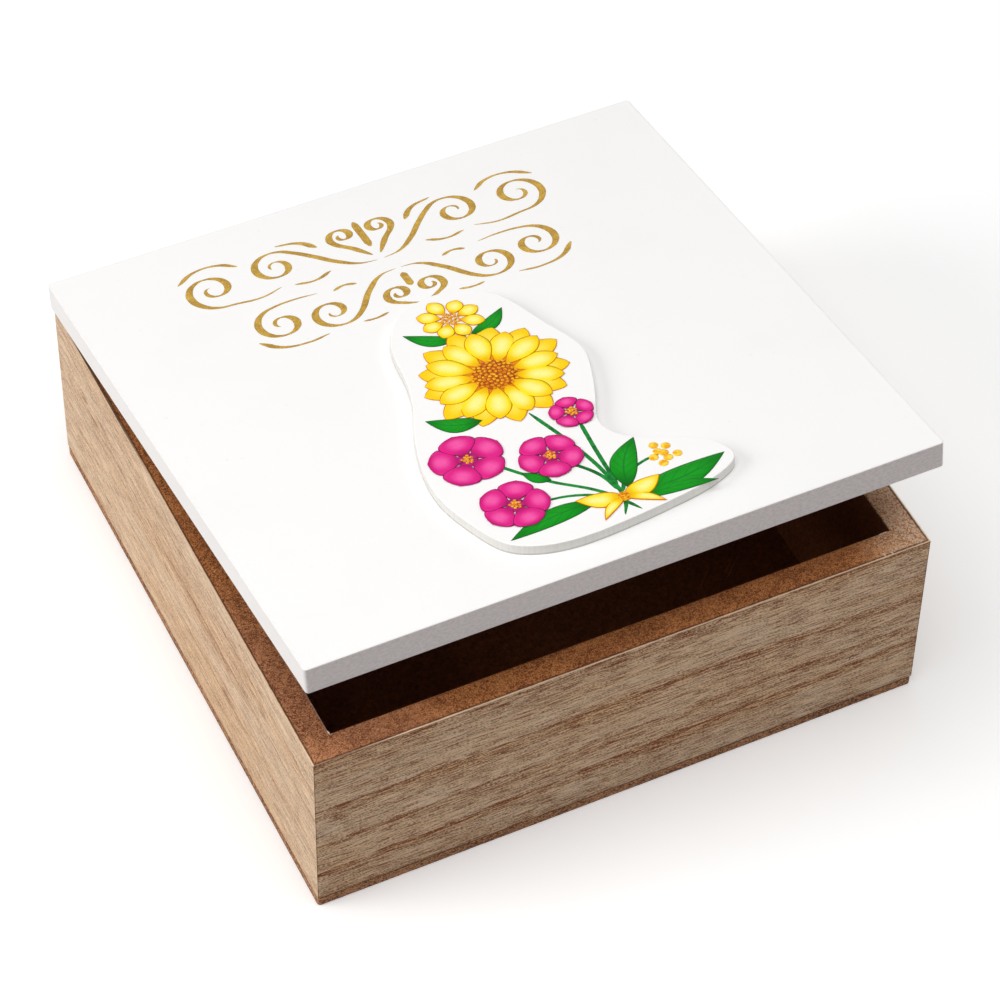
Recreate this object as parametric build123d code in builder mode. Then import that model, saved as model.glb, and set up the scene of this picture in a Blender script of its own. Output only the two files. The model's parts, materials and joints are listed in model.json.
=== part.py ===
from build123d import *
import os
from math import cos, radians, sin

# A square keepsake box in fibreboard: four mitred boards under a wood-grain skin, a bare base
# panel, and a painted lid board with a cut-out plaque, hung at the back on two butt hinges.
# Millimetres. The origin is the centre of the underside, +Z is up, +X is to the right and
# the front of the box faces -Y. The lid stands ajar, as it does in the photograph.

os.makedirs("parts", exist_ok=True)

# Box body
box_width = 180.0
box_depth = 180.0
box_height = 60.0
board_thickness = 7.5
rim_arris = 0.25
skin_thickness = 0.5
skin_seam = 0.3

# Base panel and the pins that hold it up to the boards
base_thickness = 3.0
base_corner_radius = 1.0
base_edge_softening = 0.3
base_pin_radius = 0.6
base_pin_length = 15.0
base_pin_head_radius = 1.1
base_pin_head_thickness = 0.6
base_pin_head_recess = 0.2
base_pin_point = 0.4
base_pin_clearance = 0.02
base_pins_per_board = 3
base_pin_end_distance = 25.0

# Lid board
lid_thickness = 8.0
lid_side_overhang = 1.0
lid_front_overhang = 2.0
lid_corner_radius = 1.0
lid_edge_softening = 0.3
lid_gap = 0.3
lid_rest_angle = 9.0

# Hinges, with their barrels standing clear of the back
hinge_length = 25.0
hinge_from_side = 38.0
leaf_thickness = 0.8
leaf_reach = 7.0
leaf_corner_radius = 1.0
leaf_edge_drop = 0.3
barrel_radius = 1.5
barrel_standoff = 0.3
middle_knuckle_length = 9.0
knuckle_gap = 0.3
hinge_pin_radius = 0.8
hinge_pin_head_radius = 1.2
hinge_pin_head_thickness = 0.4
hinge_pin_clearance = 0.05

# Hinge screws
screw_radius = 1.0
screw_length = 6.0
screw_point = 0.7
screw_head_radius = 1.8
screw_slot_width = 0.5
screw_slot_depth = 0.35
screw_spacing = 16.0
screw_distance_from_pin = 4.15
screw_clearance = 0.03

# Plaque on the lid
plaque_thickness = 3.0
plaque_half_width = 38.0
plaque_height = 111.0
plaque_from_front = 9.0
plaque_shift_right = 2.0
plaque_edge_softening = 0.25

# Its wavy outline, anticlockwise from the right end of the foot: each point is a share of
# the half width, counted from the middle, and a share of the height
plaque_outline_shares = [
    (0.99, 0.11),
    (0.93, 0.16),
    (0.71, 0.22),
    (0.46, 0.27),
    (0.34, 0.34),
    (0.42, 0.43),
    (0.55, 0.54),
    (0.61, 0.64),
    (0.54, 0.73),
    (0.46, 0.82),
    (0.32, 0.94),
    (-0.05, 1.00),
    (-0.42, 0.95),
    (-0.59, 0.85),
    (-0.64, 0.74),
    (-0.71, 0.64),
    (-0.84, 0.53),
    (-0.94, 0.42),
    (-0.98, 0.28),
    (-0.89, 0.14),
    (-0.78, 0.06),
    (-0.61, 0.02),
    (-0.05, 0.00),
    (0.47, 0.02),
    (0.82, 0.05),
]

# Places worked out from the sizes above
board_face_x = box_width / 2 - skin_thickness
board_face_y = box_depth / 2 - skin_thickness
hinge_offset = barrel_standoff + barrel_radius
pin_axis_y = box_depth / 2 + hinge_offset
pin_axis_z = box_height + lid_gap / 2
lid_width = box_width + 2 * lid_side_overhang
lid_depth = box_depth + lid_front_overhang
lid_front_y = -hinge_offset - lid_depth
bore_radius = hinge_pin_radius + hinge_pin_clearance

# The pin axis carries one frame for the box side and one, tilted back, for the lid side.
# In both, x runs along the pin, y points away from the box and z points up the closed lid.
box_frame = Plane(origin=(0, pin_axis_y, pin_axis_z))
lid_frame = Plane(
    origin=(0, pin_axis_y, pin_axis_z),
    x_dir=(1, 0, 0),
    z_dir=(0, sin(radians(lid_rest_angle)), cos(radians(lid_rest_angle))),
)
hinge_centres = {"left": hinge_from_side - box_width / 2, "right": box_width / 2 - hinge_from_side}


def save_piece(piece, name):
    piece.part.label = name
    export_step(piece.part, f"parts/{name}.step")


# Walls: each is drawn as the front one, then its plane is turned round the box
walls = {
    "front": {"turn": 0, "half_run": board_face_x, "face": board_face_y},
    "right": {"turn": 90, "half_run": board_face_y, "face": board_face_x},
    "back": {"turn": 180, "half_run": board_face_x, "face": board_face_y},
    "left": {"turn": 270, "half_run": board_face_y, "face": board_face_x},
}


def wall_plane(wall, height):
    turn = radians(wall["turn"])
    return Plane(origin=(0, 0, height), x_dir=(cos(turn), sin(turn), 0), z_dir=(0, 0, 1))


def draw_mitred_strip(half_run, outer_face, thickness):
    with Locations((0, thickness / 2 - outer_face)):
        Trapezoid(width=2 * half_run, height=thickness, left_side_angle=45)


def base_pin_places(wall):
    reach = wall["half_run"] - base_pin_end_distance
    spacing = 2 * reach / (base_pins_per_board - 1)
    middle = board_thickness / 2 - wall["face"]
    return [(step * spacing - reach, middle) for step in range(base_pins_per_board)]


def leaf_face(frame, centre_x, up):
    # The outer face of a leaf, between its screws, looking away from the box
    middle = (centre_x, leaf_thickness - hinge_offset, up * screw_distance_from_pin)
    return Plane(
        origin=frame.from_local_coords(middle),
        x_dir=frame.x_dir,
        z_dir=frame.y_dir,
    )


def cut_screw_pilots(frame, up):
    for centre_x in hinge_centres.values():
        with Locations(leaf_face(frame, centre_x, up)):
            with GridLocations(screw_spacing, 1, 2, 1):
                Hole(radius=screw_radius + screw_clearance, depth=screw_length + screw_clearance)


# Boards
for side, wall in walls.items():
    with BuildPart() as board:
        with BuildSketch(wall_plane(wall, base_thickness)):
            draw_mitred_strip(wall["half_run"], wall["face"], board_thickness)
        extrude(amount=box_height - base_thickness)
        inner_face = board.faces().filter_by(GeomType.PLANE).sort_by(SortBy.AREA)[-2]
        chamfer(inner_face.edges().sort_by(Axis.Z)[-1], length=rim_arris)
        with BuildSketch(wall_plane(wall, base_thickness)):
            with Locations(*base_pin_places(wall)):
                Circle(base_pin_radius + base_pin_clearance)
        extrude(
            amount=base_pin_head_recess + base_pin_length + base_pin_clearance - base_thickness,
            mode=Mode.SUBTRACT,
        )
        if side == "back":
            cut_screw_pilots(box_frame, -1)
    save_piece(board, f"{side}_board")

# Wood-grain skins, mitred at the corners, with a fine dark seam left above the base
for side, wall in walls.items():
    with BuildPart() as skin:
        with BuildSketch(wall_plane(wall, base_thickness + skin_seam)):
            draw_mitred_strip(
                wall["half_run"] + skin_thickness,
                wall["face"] + skin_thickness,
                skin_thickness,
            )
        extrude(amount=box_height - base_thickness - skin_seam)
        if side == "back":
            cut_screw_pilots(box_frame, -1)
    save_piece(skin, f"{side}_skin")

# Base panel
with BuildPart() as base_panel:
    with BuildSketch(Plane.XY):
        RectangleRounded(box_width, box_depth, base_corner_radius)
    extrude(amount=base_thickness)
    outer_loops = base_panel.faces().filter_by(Axis.Z).edges()
    fillet(outer_loops, radius=base_edge_softening)
    for wall in walls.values():
        with BuildSketch(wall_plane(wall, 0)):
            with Locations(*base_pin_places(wall)):
                Circle(base_pin_radius + base_pin_clearance)
        extrude(amount=base_thickness, mode=Mode.SUBTRACT)
        with BuildSketch(wall_plane(wall, 0)):
            with Locations(*base_pin_places(wall)):
                Circle(base_pin_head_radius + base_pin_clearance)
        extrude(amount=base_pin_head_recess + base_pin_head_thickness, mode=Mode.SUBTRACT)
save_piece(base_panel, "base_panel")

# Base pins, driven up from below with their heads a little under the surface
with BuildPart() as base_pins:
    for wall in walls.values():
        with BuildSketch(wall_plane(wall, base_pin_head_recess)):
            with Locations(*base_pin_places(wall)):
                Circle(base_pin_radius)
        extrude(amount=base_pin_length)
        with BuildSketch(wall_plane(wall, base_pin_head_recess)):
            with Locations(*base_pin_places(wall)):
                Circle(base_pin_head_radius)
        extrude(amount=base_pin_head_thickness)
    tips = base_pins.edges().filter_by(GeomType.CIRCLE).group_by(Axis.Z)[-1]
    chamfer(tips, length=base_pin_point)
save_piece(base_pins, "base_pins")

# Lid board, flush at the back
with BuildPart() as lid_board:
    with BuildSketch(lid_frame.offset(lid_gap / 2)):
        with Locations((0, lid_front_y + lid_depth / 2)):
            RectangleRounded(lid_width, lid_depth, lid_corner_radius)
    extrude(amount=lid_thickness)
    lid_faces = lid_board.faces().sort_by(Axis((0, 0, 0), lid_frame.z_dir))
    fillet(lid_faces[0].edges() + lid_faces[-1].edges(), radius=lid_edge_softening)
    cut_screw_pilots(lid_frame, 1)
save_piece(lid_board, "lid_board")

# Plaque, glued on the lid
plaque_foot = (
    plaque_shift_right,
    lid_front_y + plaque_from_front,
    lid_gap / 2 + lid_thickness,
)
plaque_plane = Plane(
    origin=lid_frame.from_local_coords(plaque_foot),
    x_dir=lid_frame.x_dir,
    z_dir=lid_frame.z_dir,
)
with BuildPart() as lid_plaque:
    with BuildSketch(plaque_plane):
        with BuildLine():
            points = [(x * plaque_half_width, y * plaque_height) for x, y in plaque_outline_shares]
            Spline(*points, periodic=True)
        make_face()
    extrude(amount=plaque_thickness)
    plaque_face = lid_plaque.faces().sort_by(Axis((0, 0, 0), lid_frame.z_dir))[-1]
    fillet(plaque_face.edges(), radius=plaque_edge_softening)
save_piece(lid_plaque, "lid_plaque")


# Hinges: each leaf is a plate with its knuckles round the pin axis
def section_plane(frame, x):
    return Plane(
        origin=frame.from_local_coords((x, 0, 0)),
        x_dir=frame.y_dir,
        z_dir=frame.x_dir,
    )


def make_leaf(frame, centre_x, up, knuckles, notches):
    left_end = centre_x - hinge_length / 2
    with BuildPart() as leaf:
        with BuildSketch(section_plane(frame, left_end)):
            with Locations((leaf_thickness / 2 - hinge_offset, up * (leaf_edge_drop + leaf_reach) / 2)):
                Rectangle(leaf_thickness, leaf_reach - leaf_edge_drop)
        extrude(amount=hinge_length)
        outward = Axis((0, 0, 0), frame.z_dir * up)
        far_corners = leaf.edges().filter_by(Axis((0, 0, 0), frame.y_dir)).sort_by(outward)[-2:]
        fillet(far_corners, radius=leaf_corner_radius)
        for start, end in notches:
            with BuildSketch(section_plane(frame, centre_x + start)):
                Rectangle(3 * hinge_offset, 2 * (barrel_radius + knuckle_gap))
            extrude(amount=end - start, mode=Mode.SUBTRACT)
        for start, end in knuckles:
            with BuildSketch(section_plane(frame, centre_x + start)):
                Circle(barrel_radius)
            extrude(amount=end - start)
        with BuildSketch(section_plane(frame, left_end)):
            Circle(bore_radius)
        extrude(amount=hinge_length, mode=Mode.SUBTRACT)
        with Locations(leaf_face(frame, centre_x, up)):
            with GridLocations(screw_spacing, 1, 2, 1):
                CounterSinkHole(
                    radius=screw_radius + screw_clearance,
                    counter_sink_radius=screw_head_radius + screw_clearance,
                    depth=2 * leaf_thickness,
                    counter_sink_angle=90,
                )
    return leaf


def make_hinge_pin(centre_x):
    left_end = centre_x - hinge_length / 2
    with BuildPart() as pin:
        with BuildSketch(section_plane(box_frame, left_end)):
            Circle(hinge_pin_radius)
        extrude(amount=hinge_length)
        with BuildSketch(section_plane(box_frame, left_end)):
            Circle(hinge_pin_head_radius)
        extrude(amount=-hinge_pin_head_thickness)
        with BuildSketch(section_plane(box_frame, left_end + hinge_length)):
            Circle(hinge_pin_head_radius)
        extrude(amount=hinge_pin_head_thickness)
        ends = pin.faces().filter_by(Axis.X).sort_by(Axis.X)
        fillet(ends[0].edges() + ends[-1].edges(), radius=hinge_pin_head_thickness / 2)
    return pin


half_length = hinge_length / 2
half_middle = middle_knuckle_length / 2
outer_start = half_middle + knuckle_gap
outer_knuckles = [(-half_length, -outer_start), (outer_start, half_length)]
outer_notches = [(-half_length, -half_middle), (half_middle, half_length)]
middle_knuckle = [(-half_middle, half_middle)]
middle_notch = [(-outer_start, outer_start)]

for side, centre_x in hinge_centres.items():
    box_leaf = make_leaf(box_frame, centre_x, -1, outer_knuckles, middle_notch)
    save_piece(box_leaf, f"{side}_hinge_box_leaf")
    lid_leaf = make_leaf(lid_frame, centre_x, 1, middle_knuckle, outer_notches)
    save_piece(lid_leaf, f"{side}_hinge_lid_leaf")
    save_piece(make_hinge_pin(centre_x), f"{side}_hinge_pin")


# Hinge screws: countersunk and slotted, their heads flush with the leaf
def make_screws(frame, up):
    with BuildPart() as screws:
        for centre_x in hinge_centres.values():
            face = leaf_face(frame, centre_x, up)
            with BuildSketch(face):
                with GridLocations(screw_spacing, 1, 2, 1):
                    Circle(screw_radius)
            extrude(amount=-screw_length)
        tips = screws.faces().sort_by(Axis((0, 0, 0), frame.y_dir))[: 2 * len(hinge_centres)]
        chamfer(tips.edges(), length=screw_point)
        for centre_x in hinge_centres.values():
            face = leaf_face(frame, centre_x, up)
            with BuildSketch(face):
                with GridLocations(screw_spacing, 1, 2, 1):
                    Circle(screw_head_radius)
            extrude(amount=screw_radius - screw_head_radius, taper=45)
            with BuildSketch(face):
                with GridLocations(screw_spacing, 1, 2, 1):
                    Rectangle(2 * screw_head_radius, screw_slot_width)
            extrude(amount=-screw_slot_depth, mode=Mode.SUBTRACT)
    return screws


save_piece(make_screws(box_frame, -1), "box_hinge_screws")
save_piece(make_screws(lid_frame, 1), "lid_hinge_screws")
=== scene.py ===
import json
import math

import bpy
from mathutils import Matrix, Vector


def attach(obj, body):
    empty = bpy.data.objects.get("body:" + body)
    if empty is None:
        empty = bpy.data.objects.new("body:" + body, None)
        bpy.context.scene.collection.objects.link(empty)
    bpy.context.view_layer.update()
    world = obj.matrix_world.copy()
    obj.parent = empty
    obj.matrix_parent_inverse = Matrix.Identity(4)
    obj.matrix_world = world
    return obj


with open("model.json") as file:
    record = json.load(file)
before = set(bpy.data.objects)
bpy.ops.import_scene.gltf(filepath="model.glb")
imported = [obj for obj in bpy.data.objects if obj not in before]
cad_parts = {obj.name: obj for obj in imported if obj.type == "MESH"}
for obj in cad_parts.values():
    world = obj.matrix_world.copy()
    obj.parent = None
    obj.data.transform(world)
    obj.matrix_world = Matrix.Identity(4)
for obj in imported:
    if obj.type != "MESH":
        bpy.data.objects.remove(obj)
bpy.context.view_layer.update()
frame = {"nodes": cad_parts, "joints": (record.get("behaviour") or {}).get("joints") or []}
cad = frame["nodes"]
mm = 0.001
print("1  the packed box is in")

# The lid lies along its own frame: x to the right, y from its front edge to the hinges, z up
hinge = frame["joints"][0]
lidTilt = math.radians(-hinge["range_deg"][0])
hingeFrame = Matrix.Translation(hinge["pos_m"]) @ Matrix.Rotation(-lidTilt, 4, "X")


def lidReach(name, axis, pick):
    toLid = hingeFrame.inverted()
    return pick((toLid @ vertex.co)[axis] for vertex in cad[name].data.vertices)


lidFront = lidReach("lid_board", 1, min)
lidSurface = lidReach("lid_board", 2, max)
plaqueSurface = lidReach("lid_plaque", 2, max)
plaqueMiddle = (lidReach("lid_plaque", 0, min) + lidReach("lid_plaque", 0, max)) / 2
plaqueFoot = lidReach("lid_plaque", 1, min)
lidTop = hingeFrame @ Matrix.Translation((0, lidFront, lidSurface))
plaqueTop = hingeFrame @ Matrix.Translation((plaqueMiddle, plaqueFoot, plaqueSurface))


# small helpers for node trees
def wire(tree, value, socket):
    # another node's output is linked, a plain value is written on the socket
    if isinstance(value, bpy.types.NodeSocket):
        tree.links.new(value, socket)
    else:
        socket.default_value = value


def addNode(tree, kind, settings=None, **values):
    made = tree.nodes.new(kind)
    made.location = (len(tree.nodes) % 9 * 190, -(len(tree.nodes) // 9) * 260)
    for name, value in (settings or {}).items():
        setattr(made, name, value)
    for name, value in values.items():
        wire(tree, value, made.inputs[name.replace("_", " ")])
    return made


def calc(tree, operation, *values, clamp=False):
    made = addNode(tree, "ShaderNodeMath", {"operation": operation, "use_clamp": clamp})
    for socket, value in zip(made.inputs, values):
        wire(tree, value, socket)
    return made.outputs[0]


def plus(tree, first, second, clamp=False):
    return calc(tree, "ADD", first, second, clamp=clamp)


def minus(tree, first, second):
    return calc(tree, "SUBTRACT", first, second)


def times(tree, first, second, clamp=False):
    return calc(tree, "MULTIPLY", first, second, clamp=clamp)


def scaled(tree, value, factor, offset, clamp=False):
    # value x factor + offset
    return calc(tree, "MULTIPLY_ADD", value, factor, offset, clamp=clamp)


def absolute(tree, value):
    return calc(tree, "ABSOLUTE", value)


def centred(tree, value):
    # noise runs from 0 to 1; this puts its middle at 0
    return minus(tree, value, 0.5)


def vectorCalc(tree, operation, *values):
    made = addNode(tree, "ShaderNodeVectorMath", {"operation": operation})
    for socket, value in zip(made.inputs, values):
        wire(tree, value, socket)
    return made.outputs[0]


def combine(tree, **parts):
    return addNode(tree, "ShaderNodeCombineXYZ", **parts).outputs[0]


def greyVector(tree, value):
    return combine(tree, X=value, Y=value, Z=value)


def ease(tree, value, low, high, start=0.0, end=1.0):
    made = addNode(tree, "ShaderNodeMapRange", {"interpolation_type": "SMOOTHSTEP"})
    for socket, given in zip(made.inputs, (value, low, high, start, end)):
        wire(tree, given, socket)
    return made.outputs[0]


def noise(tree, vector, scale, detail=2.0, roughness=0.5):
    made = addNode(
        tree, "ShaderNodeTexNoise", Vector=vector, Scale=scale, Detail=detail, Roughness=roughness
    )
    return made.outputs["Fac"]


def stretch(tree, vector, scale=(1, 1, 1), shift=(0, 0, 0), turn=(0, 0, 0), undo=False):
    made = addNode(
        tree, "ShaderNodeMapping", {"vector_type": "TEXTURE" if undo else "POINT"},
        Vector=vector, Location=shift, Rotation=turn, Scale=scale,
    )
    return made.outputs[0]


def mixColour(tree, amount, first, second):
    # the node's sockets 1 to 5 and outputs 0 and 1 belong to plain numbers and vectors
    made = addNode(tree, "ShaderNodeMix", {"data_type": "RGBA"})
    for place, value in ((0, amount), (6, first), (7, second)):
        wire(tree, value, made.inputs[place])
    return made.outputs[2]


def split(tree, vector):
    return addNode(tree, "ShaderNodeSeparateXYZ", Vector=vector).outputs


def tone(red, green, blue):
    # a colour as a paint program shows it, in the values that Blender works with
    def lift(part):
        part /= 255
        return part / 12.92 if part <= 0.04045 else ((part + 0.055) / 1.055) ** 2.4

    return (lift(red), lift(green), lift(blue), 1.0)


socketKinds = {"float": "NodeSocketFloat", "colour": "NodeSocketColor", "vector": "NodeSocketVector"}


def newGroup(name, inputs, outputs):
    group = bpy.data.node_groups.new(name, "ShaderNodeTree")
    for label, kind, value in inputs:
        socket = group.interface.new_socket(label, in_out="INPUT", socket_type=socketKinds[kind])
        if value is not None:
            socket.default_value = value
    for label, kind in outputs:
        group.interface.new_socket(label, in_out="OUTPUT", socket_type=socketKinds[kind])
    return group, group.nodes.new("NodeGroupInput").outputs, group.nodes.new("NodeGroupOutput").inputs


def useGroup(tree, group, values):
    made = addNode(tree, "ShaderNodeGroup", {"node_tree": group})
    for name, value in values.items():
        wire(tree, value, made.inputs[name])
    return made.outputs


# effects that several finishes share
def buildEdgeWear():
    # how near a point of a block is to one of its edges, broken up so that wear isn't a line
    tree, given, out = newGroup(
        "edge wear",
        [
            ("Vector", "vector", None),
            ("Centre", "vector", None),
            ("Half Size", "vector", None),
            ("Width", "float", 0.0005),
            ("Breakup", "float", 0.0004),
            ("Breakup Scale", "float", 700.0),
        ],
        [("Mask", "float"), ("Distance", "float")],
    )
    fromMiddle = vectorCalc(tree, "SUBTRACT", given["Vector"], given["Centre"])
    inside = vectorCalc(tree, "SUBTRACT", given["Half Size"], vectorCalc(tree, "ABSOLUTE", fromMiddle))
    x, y, z = split(tree, inside)
    pairs = [calc(tree, "MAXIMUM", a, b) for a, b in ((x, y), (y, z), (x, z))]
    nearest = calc(tree, "MINIMUM", calc(tree, "MINIMUM", pairs[0], pairs[1]), pairs[2])
    ragged = centred(tree, noise(tree, given["Vector"], given["Breakup Scale"], 3.0, 0.6))
    shifted = scaled(tree, ragged, given["Breakup"], nearest)
    wire(tree, ease(tree, shifted, given["Width"], 0.0), out["Mask"])
    wire(tree, nearest, out["Distance"])
    return tree


growthLook = {
    # in metres from the line's middle: where the dark line ends and where it is full
    "line": (0.00070, 0.00010),
    # where the shade ends above the line, and where it is full
    "shadeTop": (0.0008, 0.0),
    "shadePower": 1.5,
}


def buildGrowthLine():
    # one growth line of the grain: a thin dark line with a brown shade that fades away below it
    tree, given, out = newGroup(
        "growth line",
        [
            ("Along", "float", 0.0),
            ("Across", "float", 0.0),
            ("Height", "float", 0.03),
            ("Slope", "float", 0.0),
            ("Fade", "float", 0.006),
            ("Strength", "float", 1.0),
        ],
        [("Line", "float"), ("Shade", "float")],
    )
    level = scaled(tree, given["Along"], given["Slope"], given["Height"])
    above = minus(tree, given["Across"], level)
    line = ease(tree, absolute(tree, above), *growthLook["line"])
    share = plus(tree, calc(tree, "DIVIDE", above, given["Fade"]), 1.0, clamp=True)
    fading = calc(tree, "POWER", share, growthLook["shadePower"])
    shade = times(tree, fading, ease(tree, above, *growthLook["shadeTop"]))
    wire(tree, times(tree, line, given["Strength"]), out["Line"])
    wire(tree, times(tree, shade, given["Strength"]), out["Shade"])
    return tree


grainLook = {
    # each pattern's stretch: along the wall, up it and through it
    "cloud": (13, 120, 40),
    "slow": (11, 34, 9),
    "fine": (150, 2700, 90),
    "middle": (60, 760, 60),
    "flecks": (1300, 3200, 300),
    "patches": (75, 230, 60),
    # how much ink each pattern lays, and the ink under them all
    "fineInk": 4.6,
    "middleInk": 1.3,
    "fleckInk": 3.9,
    "patchInk": -0.22,
    "slowInk": 0.55,
    "cloudInk": 0.35,
    "shadeInk": 0.36,
    "lineInk": 0.45,
    "groundInk": 0.31,
    "inkRange": (-0.32, 1.20),
}


def buildWoodGrain():
    # ash-effect print: a dense run of short dashes, growth lines, and pale patches between them
    tree, given, out = newGroup(
        "wood grain",
        [
            ("Vector", "vector", None),
            ("Line", "float", 0.0),
            ("Shade", "float", 0.0),
            ("Dash Strength", "float", 1.0),
            ("Pale", "colour", None),
            ("Warm", "colour", None),
            ("Cool", "colour", None),
            ("Dark", "colour", None),
        ],
        [("Color", "colour"), ("Ink", "float"), ("Height", "float")],
    )
    look = grainLook
    shade, strength = given["Shade"], given["Dash Strength"]

    def pattern(name, detail, roughness):
        return noise(tree, stretch(tree, given["Vector"], look[name]), 1.0, detail, roughness)

    cloud = pattern("cloud", 3.0, 0.5)
    slow = pattern("slow", 2.0, 0.5)
    fine = pattern("fine", 2.0, 0.65)
    middle = pattern("middle", 2.0, 0.6)
    flecks = pattern("flecks", 2.0, 0.6)
    patches = ease(tree, pattern("patches", 2.0, 0.5), 0.50, 0.64)
    # the dashes are strongest in the shade of a growth line
    dashes = scaled(
        tree, centred(tree, fine), look["fineInk"], times(tree, centred(tree, middle), look["middleInk"])
    )
    dashes = scaled(tree, centred(tree, flecks), look["fleckInk"], dashes)
    dashes = times(tree, times(tree, dashes, scaled(tree, shade, 0.45, 0.85)), strength)
    ink = scaled(tree, shade, look["shadeInk"], plus(tree, dashes, look["groundInk"]))
    broken = ease(tree, cloud, 0.34, 0.60, 0.35, 1.0)
    ink = scaled(tree, times(tree, given["Line"], broken), look["lineInk"], ink)
    ink = scaled(tree, times(tree, patches, strength), look["patchInk"], ink)
    drifts = scaled(
        tree, centred(tree, slow), look["slowInk"], times(tree, centred(tree, cloud), look["cloudInk"])
    )
    ink = scaled(tree, drifts, scaled(tree, strength, 0.6, 0.4), ink)
    ink = ease(tree, ink, *look["inkRange"])
    inked = mixColour(tree, ink, given["Pale"], given["Dark"])
    warmth = scaled(tree, shade, 0.5, ease(tree, cloud, 0.42, 0.66, 0.0, 0.4), clamp=True)
    rusty = mixColour(tree, warmth, inked, vectorCalc(tree, "MULTIPLY", inked, given["Warm"]))
    coolness = times(tree, patches, strength, clamp=True)
    cooled = mixColour(tree, coolness, rusty, vectorCalc(tree, "MULTIPLY", rusty, given["Cool"]))
    wire(tree, cooled, out["Color"])
    wire(tree, ink, out["Ink"])
    wire(tree, minus(tree, times(tree, fine, -0.5), ink), out["Height"])
    return tree


fibreLook = {
    # each pattern's size as a share of the fibre scale, and how far it lightens or darkens the board
    "fineScale": 1.5,
    "middleScale": 0.6,
    "cloudScale": 0.05,
    "chipScale": 1.05,
    "fineTone": 3.0,
    "middleTone": 0.9,
    "cellTone": 0.55,
    "cloudTone": 0.9,
    "chipLimit": 0.84,
    "chipReach": -0.30,
    "chipSoftness": 0.05,
    "chipStrength": 0.8,
    "relief": 0.6,
}


def buildBoardFibre():
    # fibreboard: pressed fibres in three sizes, with odd pale chips
    tree, given, out = newGroup(
        "board fibre",
        [
            ("Vector", "vector", None),
            ("Fibre Scale", "float", 1500.0),
            ("Contrast", "float", 1.0),
            ("Chips", "float", 0.3),
            ("Light", "colour", None),
            ("Dark", "colour", None),
            ("Chip Colour", "colour", None),
        ],
        [("Color", "colour"), ("Height", "float")],
    )
    look = fibreLook
    vector, scale = given["Vector"], given["Fibre Scale"]

    def pattern(name, detail, roughness):
        return noise(tree, vector, times(tree, scale, look[name]), detail, roughness)

    fine = pattern("fineScale", 2.0, 0.7)
    middle = pattern("middleScale", 2.0, 0.6)
    cloud = pattern("cloudScale", 3.0, 0.55)
    cells = addNode(tree, "ShaderNodeTexVoronoi", Vector=vector, Scale=scale, Randomness=1.0)
    cell = split(tree, cells.outputs["Color"])[0]
    blend = scaled(
        tree, centred(tree, fine), look["fineTone"], times(tree, centred(tree, middle), look["middleTone"])
    )
    blend = scaled(tree, centred(tree, cell), look["cellTone"], blend)
    blend = scaled(tree, centred(tree, cloud), look["cloudTone"], blend)
    spread = scaled(tree, blend, given["Contrast"], 0.5, clamp=True)
    board = mixColour(tree, spread, given["Dark"], given["Light"])
    limit = scaled(tree, given["Chips"], look["chipReach"], look["chipLimit"])
    chips = ease(tree, pattern("chipScale", 1.0, 0.4), limit, plus(tree, limit, look["chipSoftness"]))
    chipped = mixColour(tree, times(tree, chips, look["chipStrength"]), board, given["Chip Colour"])
    wire(tree, chipped, out["Color"])
    wire(tree, scaled(tree, fine, look["relief"], times(tree, middle, look["relief"])), out["Height"])
    return tree


sprayLook = {
    "nibScale": 3.1,
    "nibHeight": 0.3,
    "cloudScale": 26.0,
    "cloudRange": (0.45, 0.75),
    "cloudSoil": 0.7,
    "speckScale": 0.7,
    "speckRange": (0.745, 0.80),
    "speckSoil": 1.6,
    "roughnessSpread": 0.22,
}


def buildSprayCoat():
    # sprayed paint: a fine orange peel, faint clouds and a little handling dust
    tree, given, out = newGroup(
        "spray coat",
        [
            ("Vector", "vector", None),
            ("Peel Scale", "float", 900.0),
            ("Paint", "colour", None),
            ("Soil", "colour", None),
            ("Soil Amount", "float", 0.1),
        ],
        [("Color", "colour"), ("Height", "float"), ("Roughness Shift", "float")],
    )
    look = sprayLook
    vector, scale = given["Vector"], given["Peel Scale"]
    peel = noise(tree, vector, scale, 2.0, 0.5)
    nibs = noise(tree, vector, times(tree, scale, look["nibScale"]), 1.0, 0.5)
    cloud = noise(tree, vector, look["cloudScale"], 3.0, 0.55)
    specks = noise(tree, vector, times(tree, scale, look["speckScale"]), 1.0, 0.3)
    specks = times(tree, ease(tree, specks, *look["speckRange"]), look["speckSoil"])
    soil = scaled(tree, ease(tree, cloud, *look["cloudRange"]), look["cloudSoil"], specks)
    soil = times(tree, soil, given["Soil Amount"], clamp=True)
    wire(tree, mixColour(tree, soil, given["Paint"], given["Soil"]), out["Color"])
    wire(tree, scaled(tree, nibs, look["nibHeight"], peel), out["Height"])
    wire(tree, times(tree, centred(tree, cloud), look["roughnessSpread"]), out["Roughness Shift"])
    return tree


brushLook = {
    "cloudScale": 420.0,
    "cloudRange": (0.40, 0.72),
    "pitScale": 2600.0,
    "pitRange": (0.70, 0.78),
    "pitTarnish": 0.6,
    "pitDepth": 1.5,
    "roughness": 0.18,
    "lineRoughness": 0.16,
    "tarnishRoughness": 0.35,
}


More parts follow.
